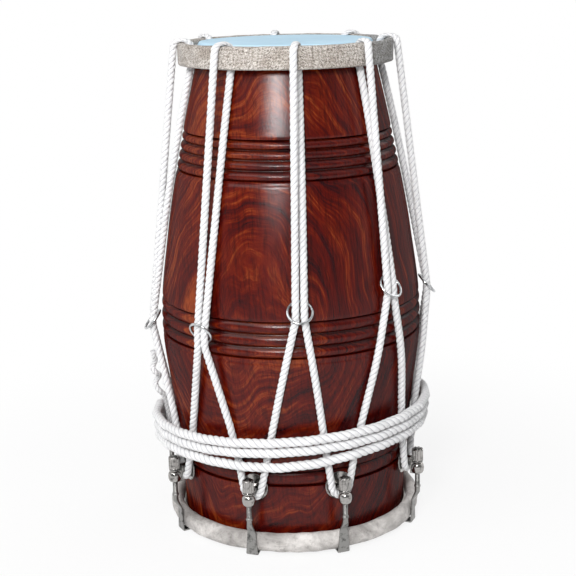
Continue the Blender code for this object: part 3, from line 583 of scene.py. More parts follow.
class Nodes:
    """Short way to write a node tree."""

    def __init__(self, tree):
        self.tree = tree

    def link(self, output, target):
        self.tree.links.new(output, target)

    def add(self, kind, inputs, **values):
        """New node; each of its inputs gets a value, or a link where another node's output is given."""
        node = self.tree.nodes.new(kind)
        for key, value in values.items():
            setattr(node, key, value)
        for key, value in inputs.items():
            socket = node.inputs[key]
            if isinstance(value, bpy.types.NodeSocket):
                self.link(value, socket)
            else:
                socket.default_value = (*value, 1.0) if socket.type == "RGBA" else value
        return node

    def math(self, operation, *terms):
        return self.add("ShaderNodeMath", dict(enumerate(terms)), operation=operation).outputs[0]

    def times(self, a, b):
        return self.math("MULTIPLY", a, b)

    def weighted(self, terms):
        total = 0.0
        for value, weight in terms:
            total = self.math("ADD", total, self.times(value, weight))
        return total

    def ramp(self, factor, stops):
        node = self.add("ShaderNodeValToRGB", {0: factor})
        elements = node.color_ramp.elements
        while len(elements) < len(stops):
            elements.new(0.5)
        for element, (place, color) in zip(elements, stops):
            element.position = place
            element.color = (*color, 1.0)
        return node.outputs[0]

    def multiply(self, factor, a, b):
        node = self.add("ShaderNodeMix", {0: factor, 6: a, 7: b}, data_type="RGBA", blend_type="MULTIPLY")
        return node.outputs[2]

    def noise(self, vector, scale, detail=3.0, rough=0.5, distortion=0.0):
        inputs = {"Vector": vector, "Scale": scale, "Detail": detail, "Roughness": rough,
                  "Distortion": distortion}
        return self.add("ShaderNodeTexNoise", inputs).outputs["Fac"]

    def stretch(self, vector, scale=(1.0, 1.0, 1.0), turn=(0.0, 0.0, 0.0)):
        inputs = {"Vector": vector, "Scale": scale, "Rotation": turn}
        return self.add("ShaderNodeMapping", inputs).outputs["Vector"]

    def place(self):
        return self.add("ShaderNodeTexCoord", {}).outputs["Object"]

    def lay(self):
        return self.add("ShaderNodeAttribute", {}, attribute_name="lay").outputs["Vector"]

    def split(self, vector):
        return self.add("ShaderNodeSeparateXYZ", {0: vector}).outputs

    def bump(self, height, distance, strength):
        inputs = {"Height": height, "Distance": distance, "Strength": strength}
        return self.add("ShaderNodeBump", inputs).outputs["Normal"]

    def smooth(self, value, low, high, start):
        inputs = {"Value": value, "From Min": low, "From Max": high, "To Min": start, "To Max": 1.0}
        return self.add("ShaderNodeMapRange", inputs, interpolation_type="SMOOTHSTEP").outputs["Result"]

    def rays(self):
        """Light path outputs, and 1 for camera, glossy and transmission rays."""
        path = self.add("ShaderNodeLightPath", {}).outputs
        seen = self.math("MAXIMUM", path["Is Camera Ray"], path["Is Glossy Ray"])
        return path, self.math("MAXIMUM", seen, path["Is Transmission Ray"])


def surface(name, roughness=0.5, metallic=0.0, coat=0.0, coat_rough=0.1, sheen=0.0, specular=0.5):
    """New Principled material with its constant values; returns it with its shader and nodes."""
    made = bpy.data.materials.new(name)
    made.use_nodes = True
    shader = made.node_tree.nodes["Principled BSDF"]
    values = {"Roughness": roughness, "Metallic": metallic, "Coat Weight": coat,
              "Coat Roughness": coat_rough, "Sheen Weight": sheen, "Specular IOR Level": specular}
    for socket, value in values.items():
        shader.inputs[socket].default_value = value
    return made, shader, Nodes(made.node_tree)


def dress(shader, n, color, height, distance, strength):
    """Give a shader its colour and relief."""
    n.link(color, shader.inputs["Base Color"])
    n.link(n.bump(height, distance, strength), shader.inputs["Normal"])


def wood_material():
    """Lacquered sheesham: growth rings of a log cut off its axis, drawn as fine dark and orange lines, with
    painted shade in the grooves between the beads and painted light towards the upper left.
    """
    made, shader, n = surface("lacquered_sheesham", roughness=0.55, coat=COAT_WEIGHT, coat_rough=COAT_ROUGH,
                              specular=0.0)
    shader.inputs["Coat IOR"].default_value = COAT_IOR
    place = n.place()
    x, y, z = n.split(place)
    swirl = n.noise(n.stretch(place, (1.0, 1.0, 0.55)), SWIRL_SCALE, detail=2.5, rough=0.45)
    side = n.math("SUBTRACT", x, n.math("MULTIPLY_ADD", z, PITH_SIDE_LEAN, PITH_SIDE))
    depth = n.math("SUBTRACT", y, n.math("MULTIPLY_ADD", z, PITH_LEAN, PITH_START))
    ring = n.math("SQRT", n.math("ADD", n.times(side, side), n.times(depth, depth)))
    field = n.math("MULTIPLY_ADD", swirl, GROWTH_WANDER, ring)
    terms = []
    for period, length, detail, rough, share in GROWTH_LAYERS:
        parts = {0: n.times(field, 1.0 / period), 1: n.times(x, 1.0 / length), 2: n.times(z, 0.7 / length)}
        vector = n.add("ShaderNodeCombineXYZ", parts).outputs[0]
        terms.append((n.noise(vector, 1.0, detail=detail, rough=rough), share))
    # Painted light: the tone rises towards the left and the top, the lit side
    tone = n.weighted(terms + [(x, PAINTED_LIGHT_TO_LEFT)])
    tone = n.math("ADD", tone, n.math("MULTIPLY_ADD", z, PAINTED_LIGHT_TO_TOP, PAINTED_LIGHT_START))
    grain = n.stretch(n.stretch(place, turn=(0.12, 0.09, 0.4)), (1.0, 1.0, 0.09))
    pores = n.ramp(n.noise(grain, PORE_SCALE, rough=0.7), PORE_TONES)
    color = n.multiply(0.7, n.ramp(tone, WOOD_TONES), pores)
    # Painted shade: the wood is darkened where the beads sink into their grooves
    groove_shade = n.ramp(n.split(n.lay())[2], BEAD_GROOVE_SHADE)
    n.link(n.multiply(0.9, color, groove_shade), shader.inputs["Base Color"])
    ripple = n.noise(place, 900.0, detail=2.0, rough=0.65)
    n.link(n.bump(ripple, 0.00015, 0.8), shader.inputs["Coat Normal"])
    return made


def rope_material():
    """White cotton rope: fibres along the strands, with painted grey shade in the grooves between them."""
    made, shader, n = surface("cotton_rope", roughness=0.92, sheen=0.15, specular=0.15)
    lay = n.lay()
    fibres = n.noise(n.stretch(lay, (1.0, 0.16, 1.0)), 2600.0, detail=2.0, rough=0.6)
    soil = n.ramp(n.noise(n.place(), 55.0, rough=0.6), ROPE_SOIL)
    # Painted shade: grey towards the grooves between the strands, white on their crowns
    color = n.multiply(0.6, n.ramp(n.split(lay)[2], ROPE_GROOVE_SHADE_TONES), soil)
    dress(shader, n, n.multiply(0.7, color, n.ramp(fibres, ROPE_FLECKS)), fibres, 0.0005, 0.7)
    return made


def film_material():
    """Light blue synthetic skin, a little cloudy."""
    made, shader, n = surface("blue_film", roughness=0.60, specular=0.15)
    place = n.place()
    cloud = n.noise(place, 26.0, detail=4.0, rough=0.6)
    dress(shader, n, n.ramp(cloud, FILM_TONES), n.noise(place, 900.0, detail=2.0), 0.0002, 0.25)
    return made


def canvas_material():
    """Fine diagonal weave in pale grey beige, with a seam, worn flecks and painted shade in bluish grey over
    the stretch at the right.
    """
    made, shader, n = surface("hoop_canvas", roughness=0.9, sheen=0.1, specular=0.2)
    place = n.place()
    slant = n.stretch(n.lay(), turn=(0.0, 0.0, math.radians(45)))
    warp = n.noise(n.stretch(slant, (1.0, 0.22, 1.0)), CANVAS_THREADS, detail=2.0, rough=0.6)
    weft = n.noise(n.stretch(slant, (0.30, 1.0, 1.0)), CANVAS_THREADS, detail=1.5)
    cloth = n.weighted([(warp, 0.62), (weft, 0.42)])
    soil = n.ramp(n.noise(place, 42.0, detail=5.0, rough=0.65), CANVAS_SOIL)
    x = n.split(place)[0]
    # Painted shade: the hoop's right end is darkened to bluish grey
    right_shade = n.ramp(n.math("MULTIPLY_ADD", x, 30.0, -1.55), CANVAS_RIGHT_SHADE)
    from_seam = n.math("ABSOLUTE", n.math("SUBTRACT", x, CANVAS_SEAM_X))
    seam = n.ramp(n.times(from_seam, 1000.0), CANVAS_SEAM)
    color = n.multiply(0.75, n.multiply(0.8, n.ramp(cloth, CANVAS_TONES), soil), right_shade)
    dress(shader, n, n.multiply(0.8, color, seam), cloth, 0.0007, 0.9)
    return made


def hide_material(name, dark, pale, wrinkle):
    """Off white hide with grey smudges and drawn wrinkles."""
    made, shader, n = surface(name, roughness=0.62, sheen=0.1, specular=0.35)
    place = n.place()
    smudge = n.noise(place, 30.0, detail=5.0, rough=0.65, distortion=0.5)
    middle = tuple((a + b) / 2 for a, b in zip(dark, pale))
    color = n.ramp(smudge, [(0.34, dark), (0.52, middle), (0.66, pale)])
    spots = n.ramp(n.noise(place, 260.0, rough=0.7), HIDE_SPOTS)
    creases = n.noise(n.stretch(place, (1.0, 1.0, 2.6)), 95.0, detail=5.0, rough=0.65, distortion=0.8)
    dress(shader, n, n.multiply(0.5, color, spots), creases, wrinkle, 0.8)
    return made


def steel_material(name, color, roughness, wear=0.35):
    """Plated steel with rubbed, slightly tarnished patches."""
    made, shader, n = surface(name, metallic=1.0)
    place = n.place()
    patch = n.noise(place, 210.0, detail=4.0, rough=0.65)
    tarnish = tuple(c * 0.34 for c in color)
    rough = n.math("ADD", n.times(patch, wear), roughness - wear * 0.5)
    n.link(rough, shader.inputs["Roughness"])
    scratch = n.noise(n.stretch(place, (1.0, 1.0, 0.12)), 2200.0, detail=2.0)
    dress(shader, n, n.ramp(patch, [(0.34, tarnish), (0.50, color)]), scratch, 0.0002, 0.25)
    return made


def plain_material(name, dark, pale, roughness):
    """Two toned rough material for hidden pieces."""
    made, shader, n = surface(name, roughness=roughness)
    grain = n.noise(n.place(), 90.0, detail=4.0, rough=0.6)
    dress(shader, n, n.ramp(grain, [(0.35, dark), (0.65, pale)]), grain, 0.0006, 0.6)
    return made


def mesh_object(name, verts, faces, finish, nodes, lay=None, sharp=None, body="root"):
    """One named, shaded piece on its body, in place of the solids that it replaces."""
    mesh = bpy.data.meshes.new(name)
    mesh.from_pydata(verts, [], faces)
    mesh.update()
    bm = bmesh.new()
    bm.from_mesh(mesh)
    bmesh.ops.recalc_face_normals(bm, faces=bm.faces)
    bm.to_mesh(mesh)
    bm.free()
    if lay is not None:
        store = mesh.attributes.new("lay", "FLOAT_VECTOR", "POINT")
        store.data.foreach_set("vector", np.asarray(lay, dtype=np.float32).ravel())
    mesh.shade_smooth()
    if sharp is not None:
        mesh.set_sharp_from_angle(angle=sharp)
    mesh.materials.append(finish)
    item = bpy.data.objects.new(name, mesh)
    bpy.context.scene.collection.objects.link(item)
    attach(item, body)
    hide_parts(*nodes)
    return item


def close_centre(item):
    """Join a turned sheet's points that lie on the drum's axis, on each face."""
    bm = bmesh.new()
    bm.from_mesh(item.data)
    middle = [v for v in bm.verts if math.hypot(v.co.x, v.co.y) < AXIS_NEAR]
    bmesh.ops.remove_doubles(bm, verts=middle, dist=AXIS_NEAR)
    bmesh.ops.delete(bm, geom=[e for e in bm.edges if not e.link_faces], context="EDGES")
    bm.to_mesh(item.data)
    bm.free()


def round_angles(count):
    """Even angles round a circle."""
    return [2 * math.pi * k / count for k in range(count)]


def grid_faces(rows, columns, wrap_rows):
    """Quads of a grid whose columns close round, and whose rows close where asked."""
    faces = []
    last = rows if wrap_rows else rows - 1
    for i in range(last):
        j = (i + 1) % rows
        for k in range(columns):
            m = (k + 1) % columns
            faces.append((i * columns + k, i * columns + m, j * columns + m, j * columns + k))
    return faces


def turned(profile, turns=TURNS, shift=None):
    """Vertices, faces and lay of a turned piece; shift(azimuth, r, z) gives a point's move out and up."""
    verts = []
    lay = []
    along = 0.0
    for i, (r, z) in enumerate(profile):
        if i:
            along += math.dist(profile[i - 1], (r, z))
        for azimuth in round_angles(turns):
            out, up = (0.0, 0.0) if shift is None else shift(azimuth, r, z)
            verts.append(polar(azimuth, max(r + out, 0.0), z + up))
            lay.append((min(azimuth, 2 * math.pi - azimuth) * r, along, 0.0))
    return verts, grid_faces(len(profile), turns, True), lay


def dense(profile, step):
    """Profile with extra points along its longer runs."""
    out = [profile[0]]
    for a, b in zip(profile, profile[1:]):
        count = max(1, int(math.dist(a, b) / step))
        for i in range(1, count + 1):
            out.append((a[0] + (b[0] - a[0]) * i / count, a[1] + (b[1] - a[1]) * i / count))
    return out


def bead_height(z):
    """How far the turned beads and grooves lie below the shell's smooth outline."""
    sink = 0.0
    for low, high in BEADS:
        if low < z < high:
            across = abs(2.0 * (z - low) / (high - low) - 1.0)
            sink = BEAD_DEPTH * min(1.0, (high - low) / BEAD_FULL) * across ** BEAD_ROUND
    for groove in LINE_GROOVES:
        sink += LINE_DEPTH * math.exp(-((z - groove) / LINE_WIDTH) ** 2)
    return -sink


def shell():
    """Turned barrel with its bead bands."""
    outer = []
    for i in range(SHELL_ROWS + 1):
        z = SHELL_BOTTOM + MOUTH_CHAMFER + (SHELL_TOP - SHELL_BOTTOM - MOUTH_CHAMFER) * i / SHELL_ROWS
        outer.append((shell_radius(z) - SHELL_TRIM + bead_height(z), z))
    heights = [SHELL_TOP - (SHELL_TOP - SHELL_BOTTOM) * i / 24 for i in range(25)]
    inner = [(shell_radius(z) - SHELL_WALL, z) for z in heights]
    verts, faces, lay = turned([(BASS_MOUTH_R - MOUTH_CHAMFER, SHELL_BOTTOM)] + outer + inner)
    # The third value of the lay is how deep a point is sunk, which the wood's painted groove shade reads
    sunk = [0.0] + [-bead_height(z) / BEAD_DEPTH for _, z in outer] + [0.0] * len(inner)
    lay = [(a, b, sunk[i // TURNS]) for i, (a, b, _) in enumerate(lay)]
    mesh_object("shell_fine", verts, faces, wood_material(), ["shell"], lay, SHELL_SHARP)


def film_head():
    """Blue film over the small mouth, with its web out to the hoop."""
    top = SHELL_TOP + GAP + TREBLE_SKIN_T
    edge = TREBLE_MOUTH_R - MOUTH_CHAMFER / 2
    web_top = WEB_Z + TREBLE_SKIN_T
    reach = TREBLE_HOOP_MID - TREBLE_HOOP_W / 2 - GAP
    side = shell_radius(WEB_Z) + GAP
    angles = [math.pi / 2 * i / 6 for i in range(1, 7)]
    bend = [(edge + FILM_BEND_R * math.sin(a), top - FILM_BEND_R * (1 - math.cos(a))) for a in angles]
    web = [(side + TREBLE_SKIN_T, web_top + WEB_RISE), (side + TREBLE_SKIN_T + WEB_SPREAD, web_top),
           (reach, web_top)]
    under = [(reach, WEB_Z), (side, WEB_Z), (TREBLE_MOUTH_R + GAP, SHELL_TOP - GAP),
             (edge, SHELL_TOP + GAP), (0.0, SHELL_TOP + GAP)]
    profile = dense([(0.0, top), (edge, top)], SHEET_STEP) + bend + dense(web, WEB_STEP)
    profile += dense(under, SHEET_STEP)

    def folds(azimuth, r, z):
        return 0.0, FOLD_HEIGHT * math.sin(azimuth * FOLDS) * max(0.0, min(1.0, (r - edge) / FOLD_REACH))

    verts, faces, lay = turned(profile, shift=folds)
    close_centre(mesh_object("treble_skin_fine", verts, faces, film_material(),
                             ["treble_skin"], lay))


def hide_head():
    """The hide that the drum stands on, with its collar round the large mouth."""
    inner_top = shell_radius(BASS_COLLAR_TOP) + GAP
    edge_z = SHELL_BOTTOM + MOUTH_CHAMFER
    knee = shell_radius(edge_z) + GAP
    flat = BASS_MOUTH_R - MOUTH_CHAMFER
    profile = dense([(0.0, 0.0), (flat, 0.0), (flat + HIDE_TURN_W, HIDE_TURN_H),
                     (knee + BASS_SKIN_T, edge_z - GAP), (inner_top + BASS_SKIN_T, BASS_COLLAR_TOP),
                     (inner_top, BASS_COLLAR_TOP), (knee, edge_z - GAP * 0.4),
                     (flat, BASS_SKIN_T), (0.0, BASS_SKIN_T)], SHEET_STEP)
    verts, faces, lay = turned(profile)
    hide = hide_material("bass_hide", (0.52, 0.49, 0.43), (0.80, 0.78, 0.72), 0.0008)
    close_centre(mesh_object("bass_skin_fine", verts, faces, hide, ["bass_skin"], lay))


def canvas_hoop():
    """Canvas wrapping of the small hoop, a little uneven as a hand wrapped one is."""
    half = TREBLE_HOOP_W / 2
    middle = TREBLE_HOOP_MID
    low = TREBLE_HOOP_BOTTOM
    soft = CANVAS_SOFT
    arc = [math.pi * i / 14 for i in range(15)]
    top = [(middle - half * math.cos(a), TREBLE_ROUND_Z + half * math.sin(a)) for a in arc]
    foot = [(middle + half, low + soft), (middle + half - soft, low), (middle - half + soft, low),
            (middle - half, low + soft)]

    def uneven(azimuth, r, z):
        wave = LONG_WAVE * math.sin(azimuth * 9.0 + 1.3) + SHORT_WAVE * math.sin(azimuth * 23.0 + z * 210.0)
        out = 1.0 if r > TREBLE_HOOP_MID else 0.0
        return wave * out, 0.5 * wave * (1.0 - out) if z > TREBLE_ROUND_Z else 0.0

    profile = dense(top + foot + [top[0]], CANVAS_STEP)[:-1]
    verts, faces, lay = turned(profile, CANVAS_TURNS, uneven)
    mesh_object("treble_hoop_wrap_fine", verts, faces, canvas_material(),
                ["treble_hoop_wrap"], lay)


def hide_hoop():
    """Creased hide wrapping of the large hoop."""
    profile = [(BASS_HOOP_MID + BASS_HOOP_HALF_W * math.cos(a), BASS_HOOP_Z + BASS_HOOP_HALF_H * math.sin(a))
               for a in round_angles(WRAP_SIDES)]

    def wrinkled(azimuth, r, z):
        fold = math.sin(azimuth * 31.0 + 3.0 * math.sin(azimuth * 5.0) + z * 260.0)
        size = WRAP_FOLD * fold + WRAP_SAG * math.sin(azimuth * 7.0 + 0.8)
        outward = (r - BASS_HOOP_MID) / BASS_HOOP_HALF_W
        return size * max(outward, 0.0), size * (z - BASS_HOOP_Z) / BASS_HOOP_HALF_H

    verts, faces, lay = turned(profile, WRAP_TURNS, wrinkled)
    wrap = hide_material("bass_wrap_hide", (0.22, 0.205, 0.195), (0.70, 0.67, 0.645), 0.0022)
    mesh_object("bass_hoop_wrap_fine", verts, faces, wrap, ["bass_hoop_wrap"], lay)


def reaches(path):
    """Length along a route at each of its points."""
    legs = np.linalg.norm(np.diff(path, axis=0), axis=1)
    return np.concatenate([[0.0], np.cumsum(legs)])


def even_path(points, step, closed):
    """Points at even steps along a route, with its corners rounded."""
    line = np.array([tuple(p) for p in points], dtype=float)
    if closed:
        line = np.vstack([line, line[:1]])
    reach = reaches(line)
    count = int(reach[-1] / step)
    at = np.linspace(0.0, reach[-1], count + 1)
    path = np.stack([np.interp(at, reach, line[:, i]) for i in range(3)], axis=1)
    width = max(1, int(SMOOTHING / step)) | 1
    kernel = np.hanning(width + 2)[1:-1]
    kernel /= kernel.sum()
    pad = width // 2
    if closed:
        path = path[:-1]
    wide = np.pad(path, ((pad, pad), (0, 0)), "wrap" if closed else "edge")
    smooth = np.stack([np.convolve(wide[:, i], kernel, "valid") for i in range(3)], axis=1)
    if not closed:
        smooth[0], smooth[-1] = path[0], path[-1]
    return smooth


def carried_frames(path, closed):
    """Tangent and two cross directions at each point, carried along without twisting."""
    if closed:
        tangent = np.roll(path, -1, axis=0) - np.roll(path, 1, axis=0)
    else:
        tangent = np.gradient(path, axis=0)
    tangent /= np.linalg.norm(tangent, axis=1)[:, None]
    side = np.cross(tangent[0], (0.0, 0.0, 1.0))
    if np.linalg.norm(side) < 0.1:
        side = np.cross(tangent[0], (1.0, 0.0, 0.0))
    sides = np.empty_like(path)
    for i, t in enumerate(tangent):
        side = side - t * side.dot(t)
        side /= np.linalg.norm(side)
        sides[i] = side
    return tangent, sides, np.cross(tangent, sides)


def rope(name, points, radius, lay_length, finish, nodes, closed=False):
    """Three strand rope along a route: a lobed section that turns as it goes."""
    path = even_path(points, ROPE_STEP, closed)
    tangent, side, up = carried_frames(path, closed)
    count = len(path)
    reach = reaches(path)
    length = reach[-1] + (np.linalg.norm(path[0] - path[-1]) if closed else 0.0)
    twist = 2 * math.pi * reach / lay_length
    if closed:
        carried = side[-1] - tangent[0] * side[-1].dot(tangent[0])
        carried /= np.linalg.norm(carried)
        drift = math.atan2(carried.dot(up[0]), carried.dot(side[0]))
        third = 2 * math.pi / 3
        whole = round((2 * math.pi * length / lay_length + drift) / third) * third - drift
        twist = reach / length * whole
    around = 2 * math.pi * np.arange(ROPE_SIDES) / ROPE_SIDES
    lobe = np.abs(np.cos(1.5 * around))
    section = radius * (1.0 - ROPE_GROOVE * (1.0 - lobe ** 0.8))
    angle = around[None, :] + twist[:, None]
    offset = (np.cos(angle)[..., None] * side[:, None, :] + np.sin(angle)[..., None] * up[:, None, :])
    verts = path[:, None, :] + offset * section[None, :, None]
    fold = np.minimum(around, 2 * math.pi - around)
    lay = np.stack(np.broadcast_arrays(fold * radius, reach[:, None], lobe), axis=-1)
    verts = [tuple(v) for v in verts.reshape(-1, 3)]
    faces = grid_faces(count, ROPE_SIDES, closed)
    if not closed:
        faces.append(tuple(range(ROPE_SIDES)))
        faces.append(tuple(reversed(range((count - 1) * ROPE_SIDES, count * ROPE_SIDES))))
    return mesh_object(name, verts, faces, finish, nodes, lay)


def ropes():
    """Lacing, belt and the tail above it."""
    cotton = rope_material()
    lacing = rope("lacing_rope_fine", lacing_points(), LACE_R, LACE_LAY, cotton, ["lacing_rope"], True)
    for vertex in lacing.data.vertices:
        if vertex.co.z > TREBLE_HOOP_TOP:
            vertex.co.z = TREBLE_HOOP_TOP + (vertex.co.z - TREBLE_HOOP_TOP) * ROPE_PRESS
    rope("belt_rope_fine", belt_points(), BELT_R, BELT_LAY, cotton, ["belt_rope"])
    rope("rope_tail_fine", tail_points(), TAIL_R, TAIL_LAY, cotton, ["rope_tail_knot"])


def rings(finish):
    """Round wire rings, each in its solid's plane."""
    profile = [(RING_R + RING_WIRE_R * math.cos(a), RING_WIRE_R * math.sin(a))
               for a in round_angles(WIRE_SIDES)]
    flat, faces, _ = turned(profile, RING_TURNS)
    for number in range(1, UNITS + 1):
        node = "tuning_ring_%d" % number
        points = np.array([tuple(v.co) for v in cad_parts[node].data.vertices])
        middle = (points.min(axis=0) + points.max(axis=0)) / 2
        normal = Vector(np.linalg.svd(points - middle, full_matrices=False)[2][2])
        place = Matrix.Translation(middle) @ normal.to_track_quat("Z", "Y").to_matrix().to_4x4()
        verts = [tuple(place @ v) for v in flat]
        mesh_object("ring_wire_%d" % number, verts, faces, finish, [node],
                    body="ring_%d" % number)


def join(parts):
    """Vertices and faces of several shapes in one list."""
    verts = []
    faces = []
    for some, quads in parts:
        base = len(verts)
        verts += [tuple(v) for v in some]
        faces += [tuple(i + base for i in quad) for quad in quads]
    return verts, faces


def on_rod(profile, turns, shift=None):
    """Turned piece about the rod at azimuth 0."""
    verts, faces, _ = turned(profile, turns, shift)
    return [(x, y - ROD_AXIS, z) for x, y, z in verts], faces


def disc(radius, back, front, soft, turns):
    """Round plate of the saddle, square to the drum's radius at azimuth 0."""
    profile = [(DISC_HOLE, back), (radius - soft, back), (radius, back + soft), (radius, front - soft),
               (radius - soft, front), (DISC_HOLE, front)]
    verts, faces, _ = turned(profile, turns)
    return [(x, -depth, SADDLE_Z - y) for x, y, depth in verts], faces


def rod_points(radius, z, direction, half_w, half_t, power):
    """Rounded section of the hook square to its path, from round (2) to nearly square (8)."""
    out = []
    for a in round_angles(HOOK_SIDES):
        c, s = math.cos(a), math.sin(a)
        x = math.copysign(abs(c) ** (2 / power), c) * half_w
        t = math.copysign(abs(s) ** (2 / power), s) * half_t
        out.append((x, -radius - t * math.cos(direction), z - t * math.sin(direction)))
    return out


def hook_shape():
    """Threaded rod, collar, and the flat blade that widens down to its foot under the hoop."""
    sections = []
    z = ROD_TOP
    while z > ROD_COLLAR_Z + THREAD_END:
        share = (ROD_TOP - z) / THREAD_PITCH
        wide = ROD_R - THREAD_DEPTH * abs(2 * (share - math.floor(share)) - 1)
        wide *= 1.0 if sections else 0.75
        sections.append((ROD_AXIS, z, 0.0, wide, wide, 2))
        z -= THREAD_PITCH / 3
    half = ROD_COLLAR_HALF
    rim = ROD_COLLAR_R * 0.94
    for dz, wide in ((half + 0.0008, ROD_R * 0.94), (half + COLLAR_SOFT, ROD_R), (half, rim),
                     (half * 0.5, ROD_COLLAR_R), (-half * 0.5, ROD_COLLAR_R), (-half, rim),
                     (-half - COLLAR_SOFT, ROD_R), (-half - 0.0020, ROD_R)):
        sections.append((ROD_AXIS, ROD_COLLAR_Z + dz, 0.0, wide, wide, 2))
    half_t = BLADE_T / 2
    flat_from = BLADE_TOP + 0.0030
    flat_to = BLADE_TOP - BLADE_FLARE
    for i in range(1, 11):
        t = i / 10
        ease = t * t * (3 - 2 * t)
        radius = ROD_AXIS + (BLADE_MID - ROD_AXIS) * ease
        wide = ROD_R + (BLADE_NECK_W / 2 - ROD_R) * t
        thick = ROD_R + (half_t - ROD_R) * ease
        sections.append((radius, flat_from + (flat_to - flat_from) * t, 0.0, wide, thick, 2 + 5 * ease))
    turn_r = half_t + 0.0004
    turn_z = FOOT_LIFT + half_t + turn_r
    for i in range(1, 9):
        t = i / 8
        sections.append((BLADE_MID, flat_to + (turn_z - flat_to) * t, 0.0,
                         (BLADE_NECK_W + (BLADE_W - BLADE_NECK_W) * t) / 2, half_t, 7))
    for i in range(1, 8):
        a = math.pi / 2 * i / 7
        sections.append((BLADE_MID - turn_r + turn_r * math.cos(a), turn_z - turn_r * math.sin(a), a,
                         BLADE_W / 2, half_t, 7))
    foot_z = FOOT_LIFT + half_t
    for share, wide, thick in ((0.70, 0.98, 1.0), (0.95, 0.94, 1.0), (1.00, 0.88, 0.7)):
        sections.append((BLADE_MID - FOOT_LENGTH * share, foot_z, math.pi / 2, FOOT_END_W / 2 * wide,
                         half_t * thick, 7))
    verts = []
    for section in sections:
        verts += rod_points(*section)
    faces = grid_faces(len(sections), HOOK_SIDES, False)
    faces.append(tuple(range(HOOK_SIDES)))
    faces.append(tuple(range(len(verts) - HOOK_SIDES, len(verts))))
    return verts, faces


def saddle_shape():
    """Back plate, boss, neck and the domed eye with its bore."""
    plate = disc(PLATE_R, PLATE_BACK, PLATE_FRONT, PLATE_SOFT, 56)
    boss = disc(BOSS_R, PLATE_FRONT - 0.0005, BOSS_FRONT, BOSS_SOFT, 40)
    middle = (EYE_BOTTOM + EYE_TOP) / 2
    tall = (EYE_TOP - EYE_BOTTOM) / 2
    arc = [-1.0 + 2.0 * i / 12 for i in range(13)]
    swell = EYE_R - BORE_R
    dome = [(BORE_R + swell * math.sqrt(max(0.0, 1 - abs(t) ** 2.3)), middle + tall * t) for t in arc]
    half = NECK_HALF_W
    low = EYE_BOTTOM + GAP
    high = EYE_TOP - GAP
    ends = ((-half, low), (half, low), (half, high), (-half, high))
    box = [(x, -r, z) for r in (NECK_BACK, ROD_AXIS - BORE_R) for x, z in ends]
    sides = [(0, 1, 2, 3), (7, 6, 5, 4), (0, 4, 5, 1), (1, 5, 6, 2), (2, 6, 7, 3), (3, 7, 4, 0)]
    return join([plate, boss, on_rod(dome, 40), (box, sides)])


def nut_shape():
    """Barrel nut with upright ribs and notches round its top."""
    def ribs(a, r, z):
        share = (z - NUT_Z) / NUT_H
        if r < NUT_R * 0.85 or not 0.07 < share < 0.93:
            return 0.0, 0.0
        valley = 0.5 - 0.5 * math.cos(a * NUT_RIBS)
        return -NUT_RIB_DEPTH * valley ** 1.6, 0.0

    rows = 16
    edge = NUT_EDGE
    top = NUT_Z + NUT_H
    side = [(NUT_R, NUT_Z + edge + (NUT_H - 2 * edge) * i / rows) for i in range(rows + 1)]
    profile = [(BORE_R, NUT_Z), (NUT_R - edge, NUT_Z)] + side + [
        (NUT_R - edge, top), (NUT_R * 0.72, top), (BORE_R, top)]
    turns = NUT_RIBS * 8
    verts, faces = on_rod(profile, turns, ribs)
    notched = []
    for i, (x, y, z) in enumerate(verts):
        a = 2 * math.pi * (i % turns) / turns
        reach = math.hypot(x, y + ROD_AXIS)
        if z > top - edge * 1.5 and reach > NUT_R * 0.8 and math.cos(a * NUT_RIBS / 2) < 0.0:
            z -= NUT_NOTCH
        notched.append((x, y, z))
    return notched, faces


def washer_shape():
    """Thin washer with softened edges."""
    soft = WASHER_SOFT
    top = WASHER_Z + WASHER_T
    profile = [(BORE_R, WASHER_Z), (WASHER_R - soft, WASHER_Z), (WASHER_R, WASHER_Z + soft),
               (WASHER_R, top - soft), (WASHER_R - soft, top), (BORE_R, top)]
    return on_rod(profile, 48)


def hardware():
    """Eight tensioners: saddle, hook, washer and nut, and eight rings."""
    plated = steel_material("plated_steel", (0.42, 0.405, 0.39), 0.13, wear=0.14)
    blade = steel_material("blade_steel", (0.32, 0.315, 0.305), 0.42)
    bright = steel_material("ring_steel", (0.62, 0.63, 0.64), 0.14, wear=0.16)
    shapes = (("saddle_fine_%d", "rope_saddle_%d", saddle_shape(), plated, "root"),
              ("hook_fine_%d", "hook_bolt_%d", hook_shape(), blade, "root"),
              ("washer_fine_%d", "nut_washer_%d", washer_shape(), plated, "root"),
              ("nut_fine_%d", "tension_nut_%d", nut_shape(), plated, "nut_%d"))
    for number, azimuth in enumerate(HOOK_AZIMUTHS, 1):
        turn = Matrix.Rotation(math.radians(azimuth), 4, "Z")
        for name, node, (verts, faces), finish, body in shapes:
            placed = [tuple(turn @ Vector(v)) for v in verts]
            mesh_object(name % number, placed, faces, finish, [node % number],
                        sharp=STEEL_SHARP, body=body.replace("%d", str(number)))
    rings(bright)


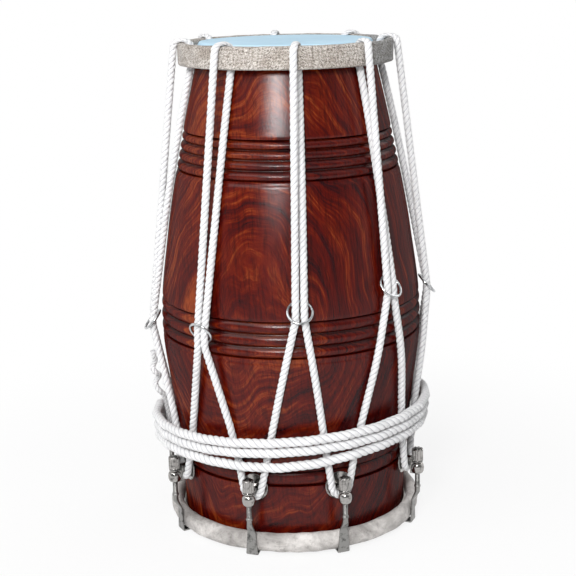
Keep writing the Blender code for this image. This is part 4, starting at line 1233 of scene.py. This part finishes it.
def floor_sweep():
    """White floor under the drum that keeps its shadow."""
    mesh = bpy.data.meshes.new("floor")
    half = FLOOR_HALF
    mesh.from_pydata([(-half, -half, 0), (half, -half, 0), (half, half, 0), (-half, half, 0)],
                     [], [(0, 1, 2, 3)])
    floor = bpy.data.objects.new("floor", mesh)
    bpy.context.scene.collection.objects.link(floor)
    floor.location.z = -FLOOR_DROP
    made, shader, n = surface("white_floor", roughness=0.9)
    shader.inputs["Base Color"].default_value = (FLOOR_GREY, FLOOR_GREY, FLOOR_GREY, 1.0)
    glow = n.add("ShaderNodeEmission", {"Strength": 1.0}).outputs[0]
    distance = n.add("ShaderNodeVectorMath", {0: n.place()}, operation="LENGTH").outputs["Value"]
    share = n.smooth(distance, FLOOR_WHITE_FROM, FLOOR_WHITE_TO, FLOOR_NEAR)
    white = n.times(n.rays()[1], share)
    blend = n.add("ShaderNodeMixShader", {0: white, 1: shader.outputs[0], 2: glow})
    n.link(blend.outputs[0], made.node_tree.nodes["Material Output"].inputs["Surface"])
    mesh.materials.append(made)


def surroundings():
    """World that camera and transmission rays see as white, darker in front for glossy rays, and lamps."""
    world = bpy.data.worlds.new("studio")
    bpy.context.scene.world = world
    world.use_nodes = True
    n = Nodes(world.node_tree)
    back = world.node_tree.nodes["Background"]
    path, seen = n.rays()
    direction = n.add("ShaderNodeTexCoord", {}).outputs["Generated"]
    room = n.smooth(n.split(direction)[1], DARK_FROM, DARK_TO, DARK_SIDE)
    n.link(n.multiply(path["Is Glossy Ray"], WHITE, room), back.inputs["Color"])
    n.link(n.math("MULTIPLY_ADD", seen, 1.0 - AMBIENT, AMBIENT), back.inputs["Strength"])
    for name, setting in LAMPS.items():
        lamp(name, *setting)
    bpy.context.scene.view_settings.view_transform = "Standard"


def hidden_pieces():
    """Finish of the solids that stay as they are, inside the wrappings and the drum."""
    core = plain_material("hoop_core_wood", (0.16, 0.09, 0.045), (0.34, 0.22, 0.12), 0.75)
    paste = plain_material("tuning_paste", (0.012, 0.010, 0.009), (0.05, 0.04, 0.035), 0.85)
    for node, finish in (("treble_hoop_core", core), ("bass_hoop_core", core), ("bass_paste", paste)):
        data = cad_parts[node].data
        data.materials.clear()
        data.materials.append(finish)


camera()
floor_sweep()
surroundings()
shell()
film_head()
hide_head()
canvas_hoop()
hide_hoop()
ropes()
hardware()
hidden_pieces()
